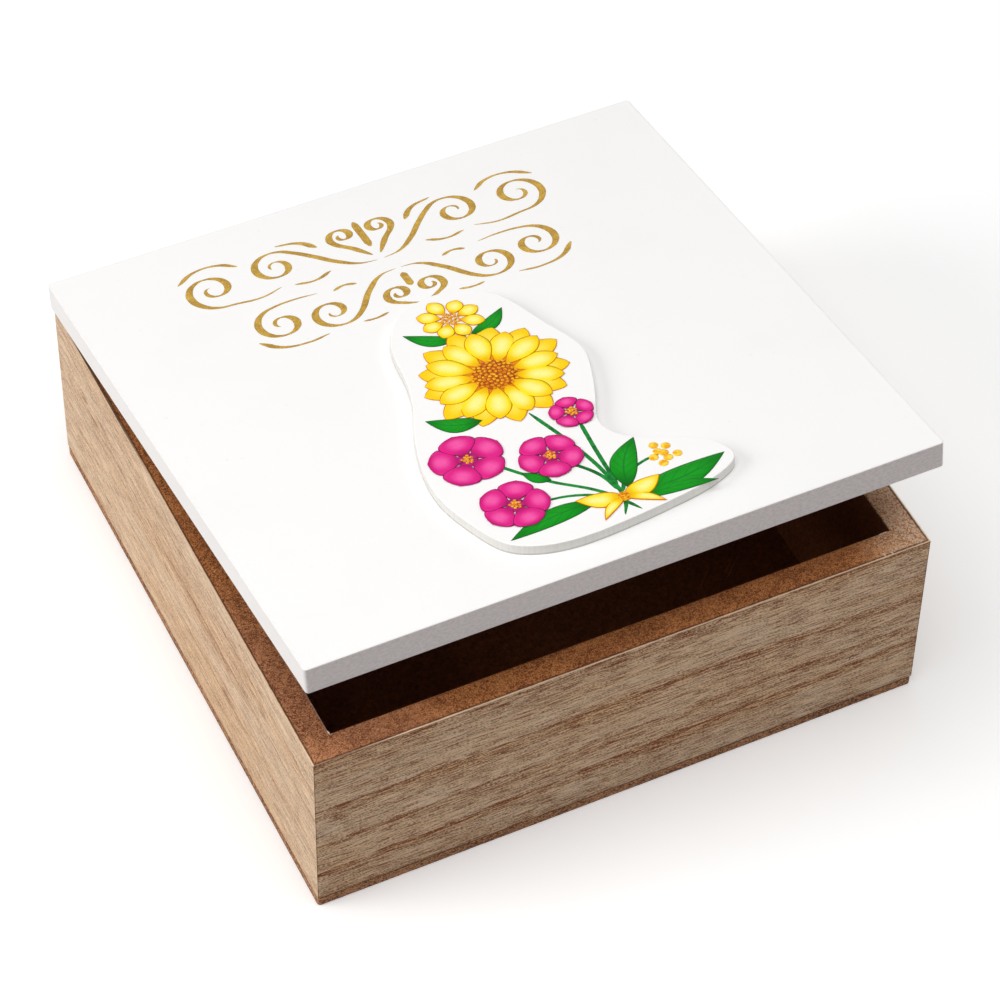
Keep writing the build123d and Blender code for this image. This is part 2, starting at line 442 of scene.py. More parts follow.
def buildBrushed():
    # small metal ware: drawn or rolled lines, a cloudy tarnish and pin-prick pits
    tree, given, out = newGroup(
        "brushed metal",
        [
            ("Vector", "vector", None),
            ("Metal", "colour", None),
            ("Tarnish", "colour", None),
            ("Tarnish Amount", "float", 0.4),
            ("Lines Along", "vector", (1.0, 1.0, 1.0)),
        ],
        [("Color", "colour"), ("Roughness", "float"), ("Height", "float")],
    )
    look = brushLook
    vector = given["Vector"]
    lines = noise(tree, vectorCalc(tree, "MULTIPLY", vector, given["Lines Along"]), 1.0, 3.0, 0.6)
    cloud = noise(tree, vector, look["cloudScale"], 4.0, 0.6)
    pits = ease(tree, noise(tree, vector, look["pitScale"], 1.0, 0.4), *look["pitRange"])
    dull = scaled(tree, pits, look["pitTarnish"], ease(tree, cloud, *look["cloudRange"]))
    dull = times(tree, dull, given["Tarnish Amount"], clamp=True)
    rough = scaled(tree, lines, look["lineRoughness"], look["roughness"])
    wire(tree, mixColour(tree, dull, given["Metal"], given["Tarnish"]), out["Color"])
    wire(tree, scaled(tree, dull, look["tarnishRoughness"], rough), out["Roughness"])
    wire(tree, minus(tree, lines, times(tree, pits, look["pitDepth"])), out["Height"])
    return tree


edgeWear = buildEdgeWear()
growthLine = buildGrowthLine()
woodGrain = buildWoodGrain()
boardFibre = buildBoardFibre()
sprayCoat = buildSprayCoat()
brushedMetal = buildBrushed()
print("2  shared finish effects are ready")


def emptyTree(owner):
    owner.use_nodes = True
    owner.node_tree.nodes.clear()
    return owner.node_tree


def startMaterial(name):
    material = bpy.data.materials.new(name)
    tree = emptyTree(material)
    shader = addNode(tree, "ShaderNodeBsdfPrincipled")
    output = addNode(tree, "ShaderNodeOutputMaterial")
    tree.links.new(shader.outputs[0], output.inputs[0])
    return material, tree, shader.inputs, addNode(tree, "ShaderNodeTexCoord").outputs["Object"]


def surfaceNormal(tree):
    return addNode(tree, "ShaderNodeTexCoord").outputs["Normal"]


def pressedFibre(tree, vector, look):
    return useGroup(tree, boardFibre, {
        "Vector": vector,
        "Fibre Scale": look["scale"],
        "Contrast": look["contrast"],
        "Chips": look["chips"],
        "Light": look["light"],
        "Dark": look["dark"],
        "Chip Colour": look["chipColour"],
    })


def finishSurface(tree, shader, look, colour, roughness, height):
    # every material ends alike: its colour, its sheen and its fine relief
    wire(tree, colour, shader["Base Color"])
    wire(tree, roughness, shader["Roughness"])
    shader["Metallic"].default_value = look.get("metallic", 0.0)
    shader["Specular IOR Level"].default_value = look["specular"]
    relief = addNode(
        tree, "ShaderNodeBump", Height=height, Distance=look["reliefDepth"], Strength=look["relief"]
    )
    wire(tree, relief.outputs[0], shader["Normal"])


def dress(name, material):
    # a carried-over CAD node takes its finish in its own slots
    slots = cad[name].material_slots
    if not slots:
        cad[name].data.materials.append(material)
    for slot in slots:
        slot.material = material


# wood-grain skins
skinFinish = {
    "pale": tone(255, 223, 184),
    "warm": (1.0, 0.84, 0.60, 1.0),
    "cool": (0.98, 1.0, 1.05, 1.0),
    "dark": tone(130, 69, 28),
    "lightEdge": tone(255, 224, 190),
    "darkEdge": tone(88, 48, 28),
    "bottomTone": tone(110, 74, 48),
    "wallTop": 0.060,
    "wallReach": 0.090,
    # how far the grain wanders up and down, in metres
    "drift": 0.008,
    "ripple": 0.0012,
    "jitter": 0.0035,
    # the cut edges: from and to which place each line fades out, and how strongly it shows
    "topLine": (0.00024, 0.00008),
    "topStrength": 0.85,
    "cornerLine": (0.00042, 0.00014),
    "cornerStrength": 0.50,
    "burntHalf": (0.08975, 0.08958),
    "bottomHeight": (0.0046, 0.0032),
    "bottomStrength": 0.30,
    "roughness": 0.46,
    "inkRoughness": 0.10,
    "cutRoughness": 0.2,
    "specular": 0.2,
    "reliefDepth": 0.00004,
    "relief": 0.8,
    "walls": {
        # which way the wall runs, where its piece of the print was cut, how strong the dashes look,
        # whether the cut edge at its corners is clean or burnt, where its top line turns dark along
        # the wall, and its growth lines: height, slope, how far the shade reaches below (mm), strength
        "front": {
            "along": 0, "shift": (0.0, 0.0), "dashes": 1.0, "corner": "darkEdge",
            "pale": tone(255, 222, 184), "topDark": (-0.060, -0.082, 0.0, 0.75),
            "lines": [
                (58.4, 0.0, 8.0, 0.75), (39.3, -0.004, 8.5, 1.0),
                (25.8, 0.0, 5.5, 0.7), (17.0, 0.030, 4.5, 1.0),
            ],
        },
        "back": {
            "along": 0, "shift": (0.7, 0.31), "dashes": 1.0, "corner": "darkEdge",
            "lines": [
                (50.5, 0.012, 7.5, 0.9), (33.0, 0.0, 6.5, 0.8),
                (22.0, -0.016, 5.0, 1.0), (9.0, 0.0, 5.0, 0.7),
            ],
        },
        "left": {
            "along": 1, "shift": (1.3, 0.12), "dashes": 0.56, "corner": "lightEdge",
            # painted shadow: the top line is painted dark towards the back, where the lid sits over this wall
            "topDark": (0.010, 0.045, 0.0, 1.0),
            "lines": [
                (50.0, 0.004, 2.5, 0.30), (38.6, 0.006, 3.0, 0.40),
                (21.7, 0.0, 3.0, 0.26), (12.0, 0.0, 2.0, 0.12),
            ],
        },
        "right": {
            "along": 1, "shift": (2.1, 0.46), "dashes": 0.9, "corner": "lightEdge",
            "lines": [
                (54.0, -0.01, 6.0, 0.7), (41.0, 0.008, 7.0, 0.9),
                (28.0, 0.0, 6.0, 0.7), (14.0, 0.014, 5.0, 0.9),
            ],
        },
    },
}


def paintSkin(side):
    look = skinFinish
    wall = look["walls"][side]
    material, tree, shader, place = startMaterial("ash effect skin " + side)
    x, y, z = split(tree, place)
    run, depth = (x, y) if wall["along"] == 0 else (y, x)
    turned = stretch(tree, combine(tree, X=run, Y=z, Z=depth), shift=(*wall["shift"], 0.0))
    # the grain drifts up and down a little along the wall
    drift = centred(tree, noise(tree, stretch(tree, turned, (4, 16, 4)), 1.0, 2.0, 0.5))
    ripple = centred(tree, noise(tree, stretch(tree, turned, (55, 200, 4)), 1.0, 1.0))
    jitter = centred(tree, noise(tree, stretch(tree, turned, (110, 1100, 60)), 1.0, 1.0))
    lift = scaled(tree, drift, look["drift"], times(tree, ripple, look["ripple"]))
    across = scaled(tree, jitter, look["jitter"], plus(tree, z, lift))
    line = shade = 0.0
    for height, slope, fade, strength in wall["lines"]:
        found = useGroup(tree, growthLine, {
            "Along": run, "Across": across, "Height": height * mm,
            "Slope": slope, "Fade": fade * mm, "Strength": strength,
        })
        line = calc(tree, "MAXIMUM", found["Line"], line)
        shade = calc(tree, "MAXIMUM", found["Shade"], shade)
    grain = useGroup(tree, woodGrain, {
        "Vector": vectorCalc(tree, "ADD", turned, combine(tree, Y=lift)),
        "Line": line,
        "Shade": shade,
        "Dash Strength": wall["dashes"],
        "Pale": wall.get("pale", look["pale"]),
        "Warm": look["warm"],
        "Cool": look["cool"],
        "Dark": look["dark"],
    })
    # the cut edge shows as a thin line along the top and down the mitred corners
    ragged = centred(tree, noise(tree, place, 520.0, 3.0, 0.6))
    toTop = minus(tree, look["wallTop"], z)
    toCorner = minus(tree, look["wallReach"], absolute(tree, run))
    nearTop = ease(tree, scaled(tree, ragged, 0.0004, toTop), *look["topLine"])
    nearCorner = ease(tree, scaled(tree, ragged, 0.0005, toCorner), *look["cornerLine"])
    topTone = look["lightEdge"]
    # topDark darkens the top line along part of a wall; on the left wall it is a painted shadow of the lid
    if "topDark" in wall:
        topTone = mixColour(tree, ease(tree, run, *wall["topDark"]), topTone, look["darkEdge"])
    burnt = ease(tree, scaled(tree, ragged, 0.0003, absolute(tree, depth)), *look["burntHalf"])
    topTone = mixColour(tree, burnt, topTone, look["darkEdge"])
    atCorner = times(tree, nearCorner, look["cornerStrength"])
    colour = mixColour(tree, atCorner, grain["Color"], look[wall["corner"]])
    colour = mixColour(tree, times(tree, nearTop, look["topStrength"]), colour, topTone)
    # darker towards the bottom, where it meets the base panel
    low = ease(tree, scaled(tree, ragged, 0.004, z), *look["bottomHeight"])
    colour = mixColour(tree, times(tree, low, look["bottomStrength"]), colour, look["bottomTone"])
    cut = calc(tree, "MAXIMUM", nearTop, nearCorner)
    rough = scaled(tree, cut, look["cutRoughness"], look["roughness"])
    rough = scaled(tree, grain["Ink"], look["inkRoughness"], rough)
    finishSurface(tree, shader, look, colour, rough, grain["Height"])
    return material


for side in skinFinish["walls"]:
    dress(side + "_skin", paintSkin(side))
print("3  skins dressed")

# fibreboard of the four walls
boardFinish = {
    "rim": {"scale": 1900.0, "chipColour": tone(252, 230, 206)},
    "rimLight": tone(224, 148, 88),
    "rimDark": tone(104, 54, 28),
    "cornerLight": tone(216, 150, 106),
    "cornerDark": tone(106, 59, 36),
    # paler tones for the right board's rim: raw board, and painted light where the lid keeps the lamps off it
    "rawAndLitPale": tone(255, 214, 168),
    "rawAndLitDark": tone(204, 130, 84),
    "face": {
        "scale": 1100.0, "contrast": 0.6, "chips": 0.12,
        "light": tone(150, 92, 56), "dark": tone(92, 50, 28), "chipColour": tone(224, 148, 88),
    },
    "handled": tone(140, 84, 52),
    "wornHighlightTone": tone(226, 200, 180),
    "mitre": tone(84, 46, 28),
    "innerReach": 0.0820,
    "outerReach": 0.0895,
    # from and to which distance each line along an edge fades out, and how strongly it shows
    "innerSaw": (0.0004, 0.0001),
    "innerStrength": 0.3,
    "outerSaw": (0.0005, 0.0001),
    "outerStrength": 0.85,
    "wornHighlightReach": (0.00042, 0.00018),
    "mitreLine": (0.00026, 0.00006),
    "roughness": 0.66,
    "rimRoughness": 0.22,
    "specular": 0.25,
    "reliefDepth": 0.00016,
    "relief": 0.8,
}


def paintBoards():
    look = boardFinish
    material, tree, shader, place = startMaterial("bare fibreboard")
    x, y, _ = split(tree, place)
    sizeX, sizeY = absolute(tree, x), absolute(tree, y)
    reach = calc(tree, "MAXIMUM", sizeX, sizeY)
    upward = ease(tree, split(tree, surfaceNormal(tree))[2], 0.3, 0.6)
    cloud = noise(tree, place, 38.0, 3.0, 0.6)
    ragged = centred(tree, noise(tree, place, 900.0, 4.0, 0.7))
    # the right board's rim and the corner beside it are paler: raw pale board with pale chips, and painted
    # light where the lid keeps the lamps off them
    rightBoard = ease(tree, minus(tree, x, sizeY), -0.0015, 0.0010)
    rawAndLit = calc(tree, "MAXIMUM", rightBoard, ease(tree, x, 0.066, 0.088))
    rawAndLit = times(tree, rawAndLit, ease(tree, cloud, 0.30, 0.50, 0.72, 1.0))
    corner = ease(tree, scaled(tree, y, 0.6, x), -0.094, -0.120)
    plainLight = mixColour(tree, corner, look["rimLight"], look["cornerLight"])
    plainDark = mixColour(tree, corner, look["rimDark"], look["cornerDark"])
    rim = pressedFibre(tree, place, dict(
        look["rim"],
        contrast=scaled(tree, rawAndLit, 0.55, 1.15),
        chips=scaled(tree, rawAndLit, 0.86, 0.28),
        light=mixColour(tree, rawAndLit, plainLight, look["rawAndLitPale"]),
        dark=mixColour(tree, rawAndLit, plainDark, look["rawAndLitDark"]),
    ))
    face = pressedFibre(tree, place, look["face"])
    worked = mixColour(tree, ease(tree, cloud, 0.40, 0.70, 0.0, 0.22), rim["Color"], look["handled"])
    # the saw left both edges darker and ragged, and a thin dark line where the mitres meet
    fromInner = minus(tree, reach, look["innerReach"])
    innerEdge = ease(tree, scaled(tree, ragged, 0.0012, fromInner), *look["innerSaw"])
    fromOuter = minus(tree, look["outerReach"], reach)
    outerEdge = ease(tree, scaled(tree, ragged, 0.0011, fromOuter), *look["outerSaw"])
    worn = calc(
        tree, "MAXIMUM",
        times(tree, innerEdge, look["innerStrength"]), times(tree, outerEdge, look["outerStrength"]),
    )
    colour = mixColour(tree, upward, face["Color"], mixColour(tree, worn, worked, look["mitre"]))
    # the left board's inner edge is painted pale: a worn edge, and a painted highlight on the lit side
    wornHighlight = ease(tree, scaled(tree, ragged, 0.0006, fromInner), *look["wornHighlightReach"])
    wornHighlight = times(tree, wornHighlight, ease(tree, x, -0.0800, -0.0815, 0.0, 0.75))
    colour = mixColour(tree, times(tree, wornHighlight, upward), colour, look["wornHighlightTone"])
    toMitre = absolute(tree, minus(tree, sizeX, sizeY))
    mitre = ease(tree, scaled(tree, ragged, 0.0008, toMitre), *look["mitreLine"])
    mitre = times(tree, mitre, scaled(tree, rawAndLit, -0.35, 0.55))
    colour = mixColour(tree, mitre, colour, look["mitre"])
    rough = scaled(tree, upward, look["rimRoughness"], look["roughness"])
    height = mixColour(tree, upward, face["Height"], rim["Height"])
    finishSurface(tree, shader, look, colour, rough, height)
    return material


boardMaterial = paintBoards()
for side in ("front", "right", "back", "left"):
    dress(side + "_board", boardMaterial)

# base panel: brown sawn edge outside, smooth dark face inside
baseFinish = {
    "edge": {
        "scale": 1500.0, "contrast": 1.5, "chips": 0.34,
        "light": tone(224, 166, 122), "dark": tone(92, 52, 30), "chipColour": tone(226, 190, 156),
    },
    "edgeStretch": (1, 1, 1.6),
    "face": {
        "scale": 1000.0, "contrast": 0.7, "chips": 0.16,
        "light": tone(132, 80, 48), "dark": tone(84, 46, 26), "chipColour": tone(170, 118, 78),
    },
    # two sets of hair scratches on the smooth face: how each is turned and stretched
    "scratches": [(0.42, (24, 1900, 1)), (-0.75, (30, 2300, 1))],
    "scratchTone": tone(196, 140, 92),
    "scratchStrength": 0.8,
    "roughness": 0.58,
    "edgeRoughness": 0.25,
    "specular": 0.3,
    "reliefDepth": 0.00010,
    "relief": 0.6,
}


def paintBase():
    look = baseFinish
    material, tree, shader, place = startMaterial("base panel fibreboard")
    sideways = ease(tree, absolute(tree, split(tree, surfaceNormal(tree))[2]), 0.75, 0.45)
    edge = pressedFibre(tree, stretch(tree, place, look["edgeStretch"]), look["edge"])
    face = pressedFibre(tree, place, look["face"])
    sets = []
    for turn, scale in look["scratches"]:
        turned = stretch(tree, place, turn=(0, 0, turn))
        streaks = noise(tree, stretch(tree, turned, scale), 1.0, 1.0, 0.4)
        sets.append(ease(tree, streaks, 0.73, 0.79))
    scratches = calc(tree, "MAXIMUM", *sets)
    scratches = times(tree, scratches, ease(tree, noise(tree, place, 55.0, 2.0, 0.5), 0.50, 0.66))
    scratches = times(tree, scratches, look["scratchStrength"])
    smooth = mixColour(tree, scratches, face["Color"], look["scratchTone"])
    colour = mixColour(tree, sideways, smooth, edge["Color"])
    rough = scaled(tree, sideways, look["edgeRoughness"], look["roughness"])
    height = mixColour(tree, sideways, face["Height"], edge["Height"])
    finishSurface(tree, shader, look, colour, rough, height)
    return material


dress("base_panel", paintBase())
print("4  fibreboard dressed")

# white painted lid
lidFinish = {
    "paint": tone(246, 245, 244),
    "soil": tone(205, 196, 182),
    "soilAmount": 0.06,
    "peelScale": 760.0,
    "thinPaint": tone(226, 219, 214),
    # the front and back edges take painted shade, the left and right edges painted light
    "shadedEdgePaint": tone(235, 225, 224),
    "litSidePaint": tone(252, 248, 246),
    "wear": {"Width": 0.0008, "Breakup": 0.0012, "Breakup Scale": 420.0},
    "wearStrength": 0.35,
    "under": {
        "scale": 1000.0, "contrast": 0.6, "chips": 0.12,
        "light": tone(176, 122, 82), "dark": tone(116, 74, 48), "chipColour": tone(206, 160, 120),
    },
    # how far stray paint reaches in under the lid, and how ragged its border is, in metres
    "strayReach": (0.0004, 0.0022),
    "strayRaggedness": 0.0018,
    # how far above the underside the sprayed edge ends
    "sprayEnd": (0.00035, 0.00015),
    "roughness": 0.42,
    "bareRoughness": 0.3,
    "specular": 0.42,
    "reliefDepth": 0.00003,
    "relief": 0.55,
}


def lidCoordinates(tree, place):
    # undoes the lid's tilt, so that patterns lie straight on it
    return stretch(tree, place, shift=lidTop.translation, turn=(-lidTilt, 0, 0), undo=True)


def boxAround(name):
    toTop = lidTop.inverted()
    points = [toTop @ vertex.co for vertex in cad[name].data.vertices]
    low = Vector([min(point[axis] for point in points) for axis in range(3)])
    high = Vector([max(point[axis] for point in points) for axis in range(3)])
    return (low + high) / 2, (high - low) / 2


def uprightness(tree):
    # 1 where a surface faces straight up from the lid, -1 where it faces straight down
    made = addNode(tree, "ShaderNodeVectorMath", {"operation": "DOT_PRODUCT"})
    wire(tree, surfaceNormal(tree), made.inputs[0])
    made.inputs[1].default_value = lidTop.to_3x3().col[2]
    return made.outputs["Value"]


def paintLid():
    look = lidFinish
    material, tree, shader, place = startMaterial("white lid paint")
    flat = lidCoordinates(tree, place)
    centre, half = boxAround("lid_board")
    coat = useGroup(tree, sprayCoat, {
        "Vector": flat, "Peel Scale": look["peelScale"], "Paint": look["paint"],
        "Soil": look["soil"], "Soil Amount": look["soilAmount"],
    })
    wear = useGroup(tree, edgeWear, {"Vector": flat, "Centre": centre, "Half Size": half, **look["wear"]})
    # painted shade and light: the front and back edges are painted duller than the face, with the fibres
    # showing, and the left and right edges are painted brighter
    sideways = ease(tree, absolute(tree, uprightness(tree)), 0.75, 0.35)
    endward = ease(tree, absolute(tree, split(tree, surfaceNormal(tree))[0]), 0.35, 0.75)
    dull = scaled(tree, times(tree, sideways, endward), -1.0, sideways)
    fibres = noise(tree, stretch(tree, flat, (800, 800, 1500)), 1.0, 3.0, 0.65)
    fibreTone = greyVector(tree, ease(tree, fibres, 0.32, 0.68, 0.89, 1.08))
    shadedEdgeTone = vectorCalc(tree, "MULTIPLY", look["shadedEdgePaint"][:3], fibreTone)
    painted = mixColour(tree, endward, coat["Color"], look["litSidePaint"])
    painted = mixColour(tree, dull, painted, shadedEdgeTone)
    painted = mixColour(tree, times(tree, wear["Mask"], look["wearStrength"]), painted, look["thinPaint"])
    bare = pressedFibre(tree, flat, look["under"])
    # only the top and the edges are sprayed; a little paint strays under the rim
    depth = times(tree, split(tree, flat)[2], -1.0)
    stray = centred(tree, noise(tree, flat, 260.0, 4.0, 0.6))
    fromEdge = scaled(tree, stray, look["strayRaggedness"], wear["Distance"])
    below = ease(tree, depth, *(2 * half.z - height for height in look["sprayEnd"]))
    under = times(tree, below, ease(tree, fromEdge, *look["strayReach"]))
    colour = mixColour(tree, under, painted, bare["Color"])
    glossy = plus(tree, look["roughness"], coat["Roughness Shift"])
    rough = scaled(tree, under, look["bareRoughness"], glossy)
    height = mixColour(tree, sideways, coat["Height"], times(tree, fibres, 2.0))
    finishSurface(tree, shader, look, colour, rough, height)
    return material


dress("lid_board", paintLid())

# plaque: white board with a glossier printed face
plaqueFinish = {
    "face": tone(247, 246, 244),
    "side": tone(232, 230, 226),
    "soil": tone(212, 207, 199),
    "soilAmount": 0.05,
    "peelScale": 1100.0,
    "footShade": tone(150, 144, 134),
    "footReach": (0.0007, 0.0001, 0.0, 0.55),
    "roughness": 0.34,
    "sideRoughness": 0.25,
    "specular": 0.45,
    "reliefDepth": 0.00003,
    "relief": 0.5,
}


def paintPlaque():
    look = plaqueFinish
    material, tree, shader, place = startMaterial("white plaque")
    flat = lidCoordinates(tree, place)
    upward = ease(tree, uprightness(tree), 0.55, 0.85)
    coat = useGroup(tree, sprayCoat, {
        "Vector": flat, "Peel Scale": look["peelScale"], "Paint": look["face"],
        "Soil": look["soil"], "Soil Amount": look["soilAmount"],
    })
    # the routed side: faint upright cutter marks and a duller coat
    marks = noise(tree, stretch(tree, flat, (1500, 1500, 120)), 1.0, 2.0, 0.6)
    side = mixColour(tree, ease(tree, marks, 0.42, 0.68, 0.0, 0.22), look["side"], look["soil"])
    foot = ease(tree, split(tree, flat)[2], *look["footReach"])
    side = mixColour(tree, foot, side, look["footShade"])
    colour = mixColour(tree, upward, side, coat["Color"])
    dull = plus(tree, look["roughness"] + look["sideRoughness"], coat["Roughness Shift"])
    rough = scaled(tree, upward, -look["sideRoughness"], dull)
    finishSurface(tree, shader, look, colour, rough, mixColour(tree, upward, marks, coat["Height"]))
    return material


dress("lid_plaque", paintPlaque())
print("5  lid and plaque dressed")

# hinges, screws and base pins
metalFinish = {
    "brassLeaf": {
        "metal": tone(212, 170, 92), "tarnish": tone(128, 88, 40), "amount": 0.45, "lines": (60, 2600, 2600),
    },
    "brassPin": {
        "metal": tone(196, 152, 80), "tarnish": tone(104, 72, 36), "amount": 0.60, "lines": (900, 2400, 2400),
    },
    "brassScrew": {
        "metal": tone(178, 132, 64), "tarnish": tone(84, 56, 26), "amount": 0.65, "lines": (1800, 900, 900),
    },
    "steelPin": {
        "metal": tone(176, 176, 178), "tarnish": tone(92, 80, 70), "amount": 0.70, "lines": (1500, 1500, 400),
    },
}


metalSheen = {"metallic": 1.0, "specular": 0.5, "reliefDepth": 0.00002, "relief": 0.6}


def paintMetal(name):
    look = metalFinish[name]
    material, tree, shader, place = startMaterial(name)
    metal = useGroup(tree, brushedMetal, {
        "Vector": place, "Metal": look["metal"], "Tarnish": look["tarnish"],
        "Tarnish Amount": look["amount"], "Lines Along": look["lines"],
    })
    finishSurface(tree, shader, metalSheen, metal["Color"], metal["Roughness"], metal["Height"])
    return material


leafMaterial = paintMetal("brassLeaf")
pinMaterial = paintMetal("brassPin")
screwMaterial = paintMetal("brassScrew")
for side in ("left", "right"):
    dress(side + "_hinge_box_leaf", leafMaterial)
    dress(side + "_hinge_lid_leaf", leafMaterial)
    dress(side + "_hinge_pin", pinMaterial)
dress("box_hinge_screws", screwMaterial)
dress("lid_hinge_screws", screwMaterial)
dress("base_pins", paintMetal("steelPin"))
print("6  metal ware dressed")


# geometry trees: one node tree makes each thing that repeats or follows a path
geometryKinds = {"float": "NodeSocketFloat", "int": "NodeSocketInt", "material": "NodeSocketMaterial"}


def newTree(name, inputs):
    tree = bpy.data.node_groups.new(name, "GeometryNodeTree")
    tree.interface.new_socket("Geometry", in_out="INPUT", socket_type="NodeSocketGeometry")
    for label, kind in inputs:
        tree.interface.new_socket(label, in_out="INPUT", socket_type=geometryKinds[kind])
    tree.interface.new_socket("Geometry", in_out="OUTPUT", socket_type="NodeSocketGeometry")
    return tree, tree.nodes.new("NodeGroupInput").outputs, tree.nodes.new("NodeGroupOutput").inputs


def finishTree(tree, geometry, material, out):
    # every tree ends alike: smooth, real geometry, one material
    smooth = addNode(tree, "GeometryNodeSetShadeSmooth", Geometry=geometry).outputs[0]
    real = addNode(tree, "GeometryNodeRealizeInstances", Geometry=smooth).outputs[0]
    dressed = addNode(tree, "GeometryNodeSetMaterial", Geometry=real, Material=material).outputs[0]
    wire(tree, dressed, out["Geometry"])


def putInScene(name, data):
    made = bpy.data.objects.new(name, data)
    bpy.context.scene.collection.objects.link(made)
    return made


def growPiece(name, tree, inputs, place, base=None):
    # runs a tree on a holder, keeps the result as a plain mesh and puts its place in the mesh
    holder = putInScene("holder", base or bpy.data.meshes.new("holder"))
    modifier = holder.modifiers.new("grow", "NODES")
    modifier.node_group = tree
    identifiers = {
        item.name: item.identifier
        for item in tree.interface.items_tree
        if item.item_type == "SOCKET" and item.in_out == "INPUT"
    }
    for label, value in inputs.items():
        modifier[identifiers[label]] = value
    bpy.context.view_layer.update()
    depsgraph = bpy.context.evaluated_depsgraph_get()
    mesh = bpy.data.meshes.new_from_object(
        holder.evaluated_get(depsgraph), preserve_all_data_layers=True, depsgraph=depsgraph
    )
    mesh.name = name
    mesh.transform(place)
    bpy.data.objects.remove(holder)
    return putInScene(name, mesh)


def joinPieces(name, pieces):
    bpy.ops.object.select_all(action="DESELECT")
    for piece in pieces:
        piece.select_set(True)
    bpy.context.view_layer.objects.active = pieces[0]
    bpy.ops.object.join()
    pieces[0].name = name
    pieces[0].data.name = name
    return pieces[0]


def closeSheet(tree, sheet, thickness):
    # a flat sheet becomes a thin closed shell
    raised = addNode(tree, "GeometryNodeExtrudeMesh", {"mode": "FACES"}, Mesh=sheet)
    wire(tree, thickness, raised.inputs["Offset Scale"])
    wire(tree, combine(tree, Z=1.0), raised.inputs["Offset"])
    raised.inputs["Individual"].default_value = False
    under = addNode(tree, "GeometryNodeFlipFaces", Mesh=sheet).outputs[0]
    both = addNode(tree, "GeometryNodeJoinGeometry")
    tree.links.new(under, both.inputs[0])
    tree.links.new(raised.outputs["Mesh"], both.inputs[0])
    merged = addNode(tree, "GeometryNodeMergeByDistance", Geometry=both.outputs[0], Distance=0.000001)
    return merged.outputs[0]


def keepValue(tree, geometry, name, value):
    made = addNode(
        tree, "GeometryNodeStoreNamedAttribute", {"data_type": "FLOAT", "domain": "POINT"}, Geometry=geometry
    )
    made.inputs["Name"].default_value = name
    wire(tree, value, made.inputs["Value"])
    return made.outputs[0]


def randomValue(tree, kind, low, high, seed):
    made = addNode(tree, "FunctionNodeRandomValue", {"data_type": kind})
    first = {"FLOAT_VECTOR": 0, "FLOAT": 2}[kind]
    made.inputs[first].default_value = low
    made.inputs[first + 1].default_value = high
    wire(tree, seed, made.inputs["Seed"])
    return made.outputs[first // 2]


petalLook = {
    "columns": 17,
    "rows": 9,
    # how blunt a petal's two ends are, and its least half width in metres
    "bluntness": 0.72,
    "narrowest": 0.00004,
    # every second petal lies this share of a petal's thickness higher
    "overlap": 0.6,
}


def buildPetalRing():
    look = petalLook
    tree, given, out = newTree("petal ring", [
        ("Petals", "int"), ("Inner Radius", "float"), ("Petal Length", "float"), ("Petal Width", "float"),
        ("Fullness", "float"), ("First Turn", "float"), ("Unevenness", "float"), ("Thickness", "float"),
        ("Dome", "float"), ("Seed", "int"), ("Material", "material"),
    ])
    grid = addNode(
        tree, "GeometryNodeMeshGrid",
        Size_X=1.0, Size_Y=2.0, Vertices_X=look["columns"], Vertices_Y=look["rows"],
    )
    spot = split(tree, addNode(tree, "GeometryNodeInputPosition").outputs[0])
    u = plus(tree, spot[0], 0.5)
    v = spot[1]
    bow = calc(tree, "SINE", times(tree, calc(tree, "POWER", u, given["Fullness"]), math.pi))
    half = calc(tree, "POWER", calc(tree, "MAXIMUM", bow, 0.0), look["bluntness"])
    half = times(tree, half, times(tree, given["Petal Width"], 0.5))
    half = calc(tree, "MAXIMUM", half, look["narrowest"])
    gap = times(tree, minus(tree, 1.0, absolute(tree, v)), half)
    measured = keepValue(tree, grid.outputs["Mesh"], "along", u)
    measured = keepValue(tree, measured, "across", v)
    measured = keepValue(tree, measured, "edgeGap", gap)
    x = scaled(tree, u, given["Petal Length"], given["Inner Radius"])
    y = times(tree, v, half)
    lift = times(tree, minus(tree, 1.0, times(tree, v, v)), given["Dome"])
    lift = times(tree, lift, bow)
    flat = addNode(tree, "GeometryNodeSetPosition", Geometry=measured)
    wire(tree, combine(tree, X=x, Y=y, Z=lift), flat.inputs["Position"])
    petal = closeSheet(tree, flat.outputs[0], given["Thickness"])
    points = addNode(tree, "GeometryNodePoints", Count=given["Petals"])
    index = addNode(tree, "GeometryNodeInputIndex").outputs[0]
    wobble = times(tree, randomValue(tree, "FLOAT", -1.0, 1.0, given["Seed"]), given["Unevenness"])
    step = calc(tree, "DIVIDE", plus(tree, index, times(tree, wobble, 0.5)), given["Petals"])
    turn = combine(tree, Z=scaled(tree, step, 2 * math.pi, given["First Turn"]))
    ring = addNode(
        tree, "GeometryNodeInstanceOnPoints",
        Points=points.outputs[0],
        Instance=petal,
        Rotation=addNode(tree, "FunctionNodeEulerToRotation", Euler=turn).outputs[0],
        Scale=combine(tree, X=plus(tree, 1.0, times(tree, wobble, 0.5)), Y=1.0, Z=1.0),
    )
    climb = addNode(tree, "GeometryNodeTranslateInstances", Instances=ring.outputs[0])
    rise = times(tree, calc(tree, "MODULO", index, 2.0), times(tree, given["Thickness"], look["overlap"]))
    wire(tree, combine(tree, Z=rise), climb.inputs["Translation"])
    finishTree(tree, climb.outputs[0], given["Material"], out)
    return tree


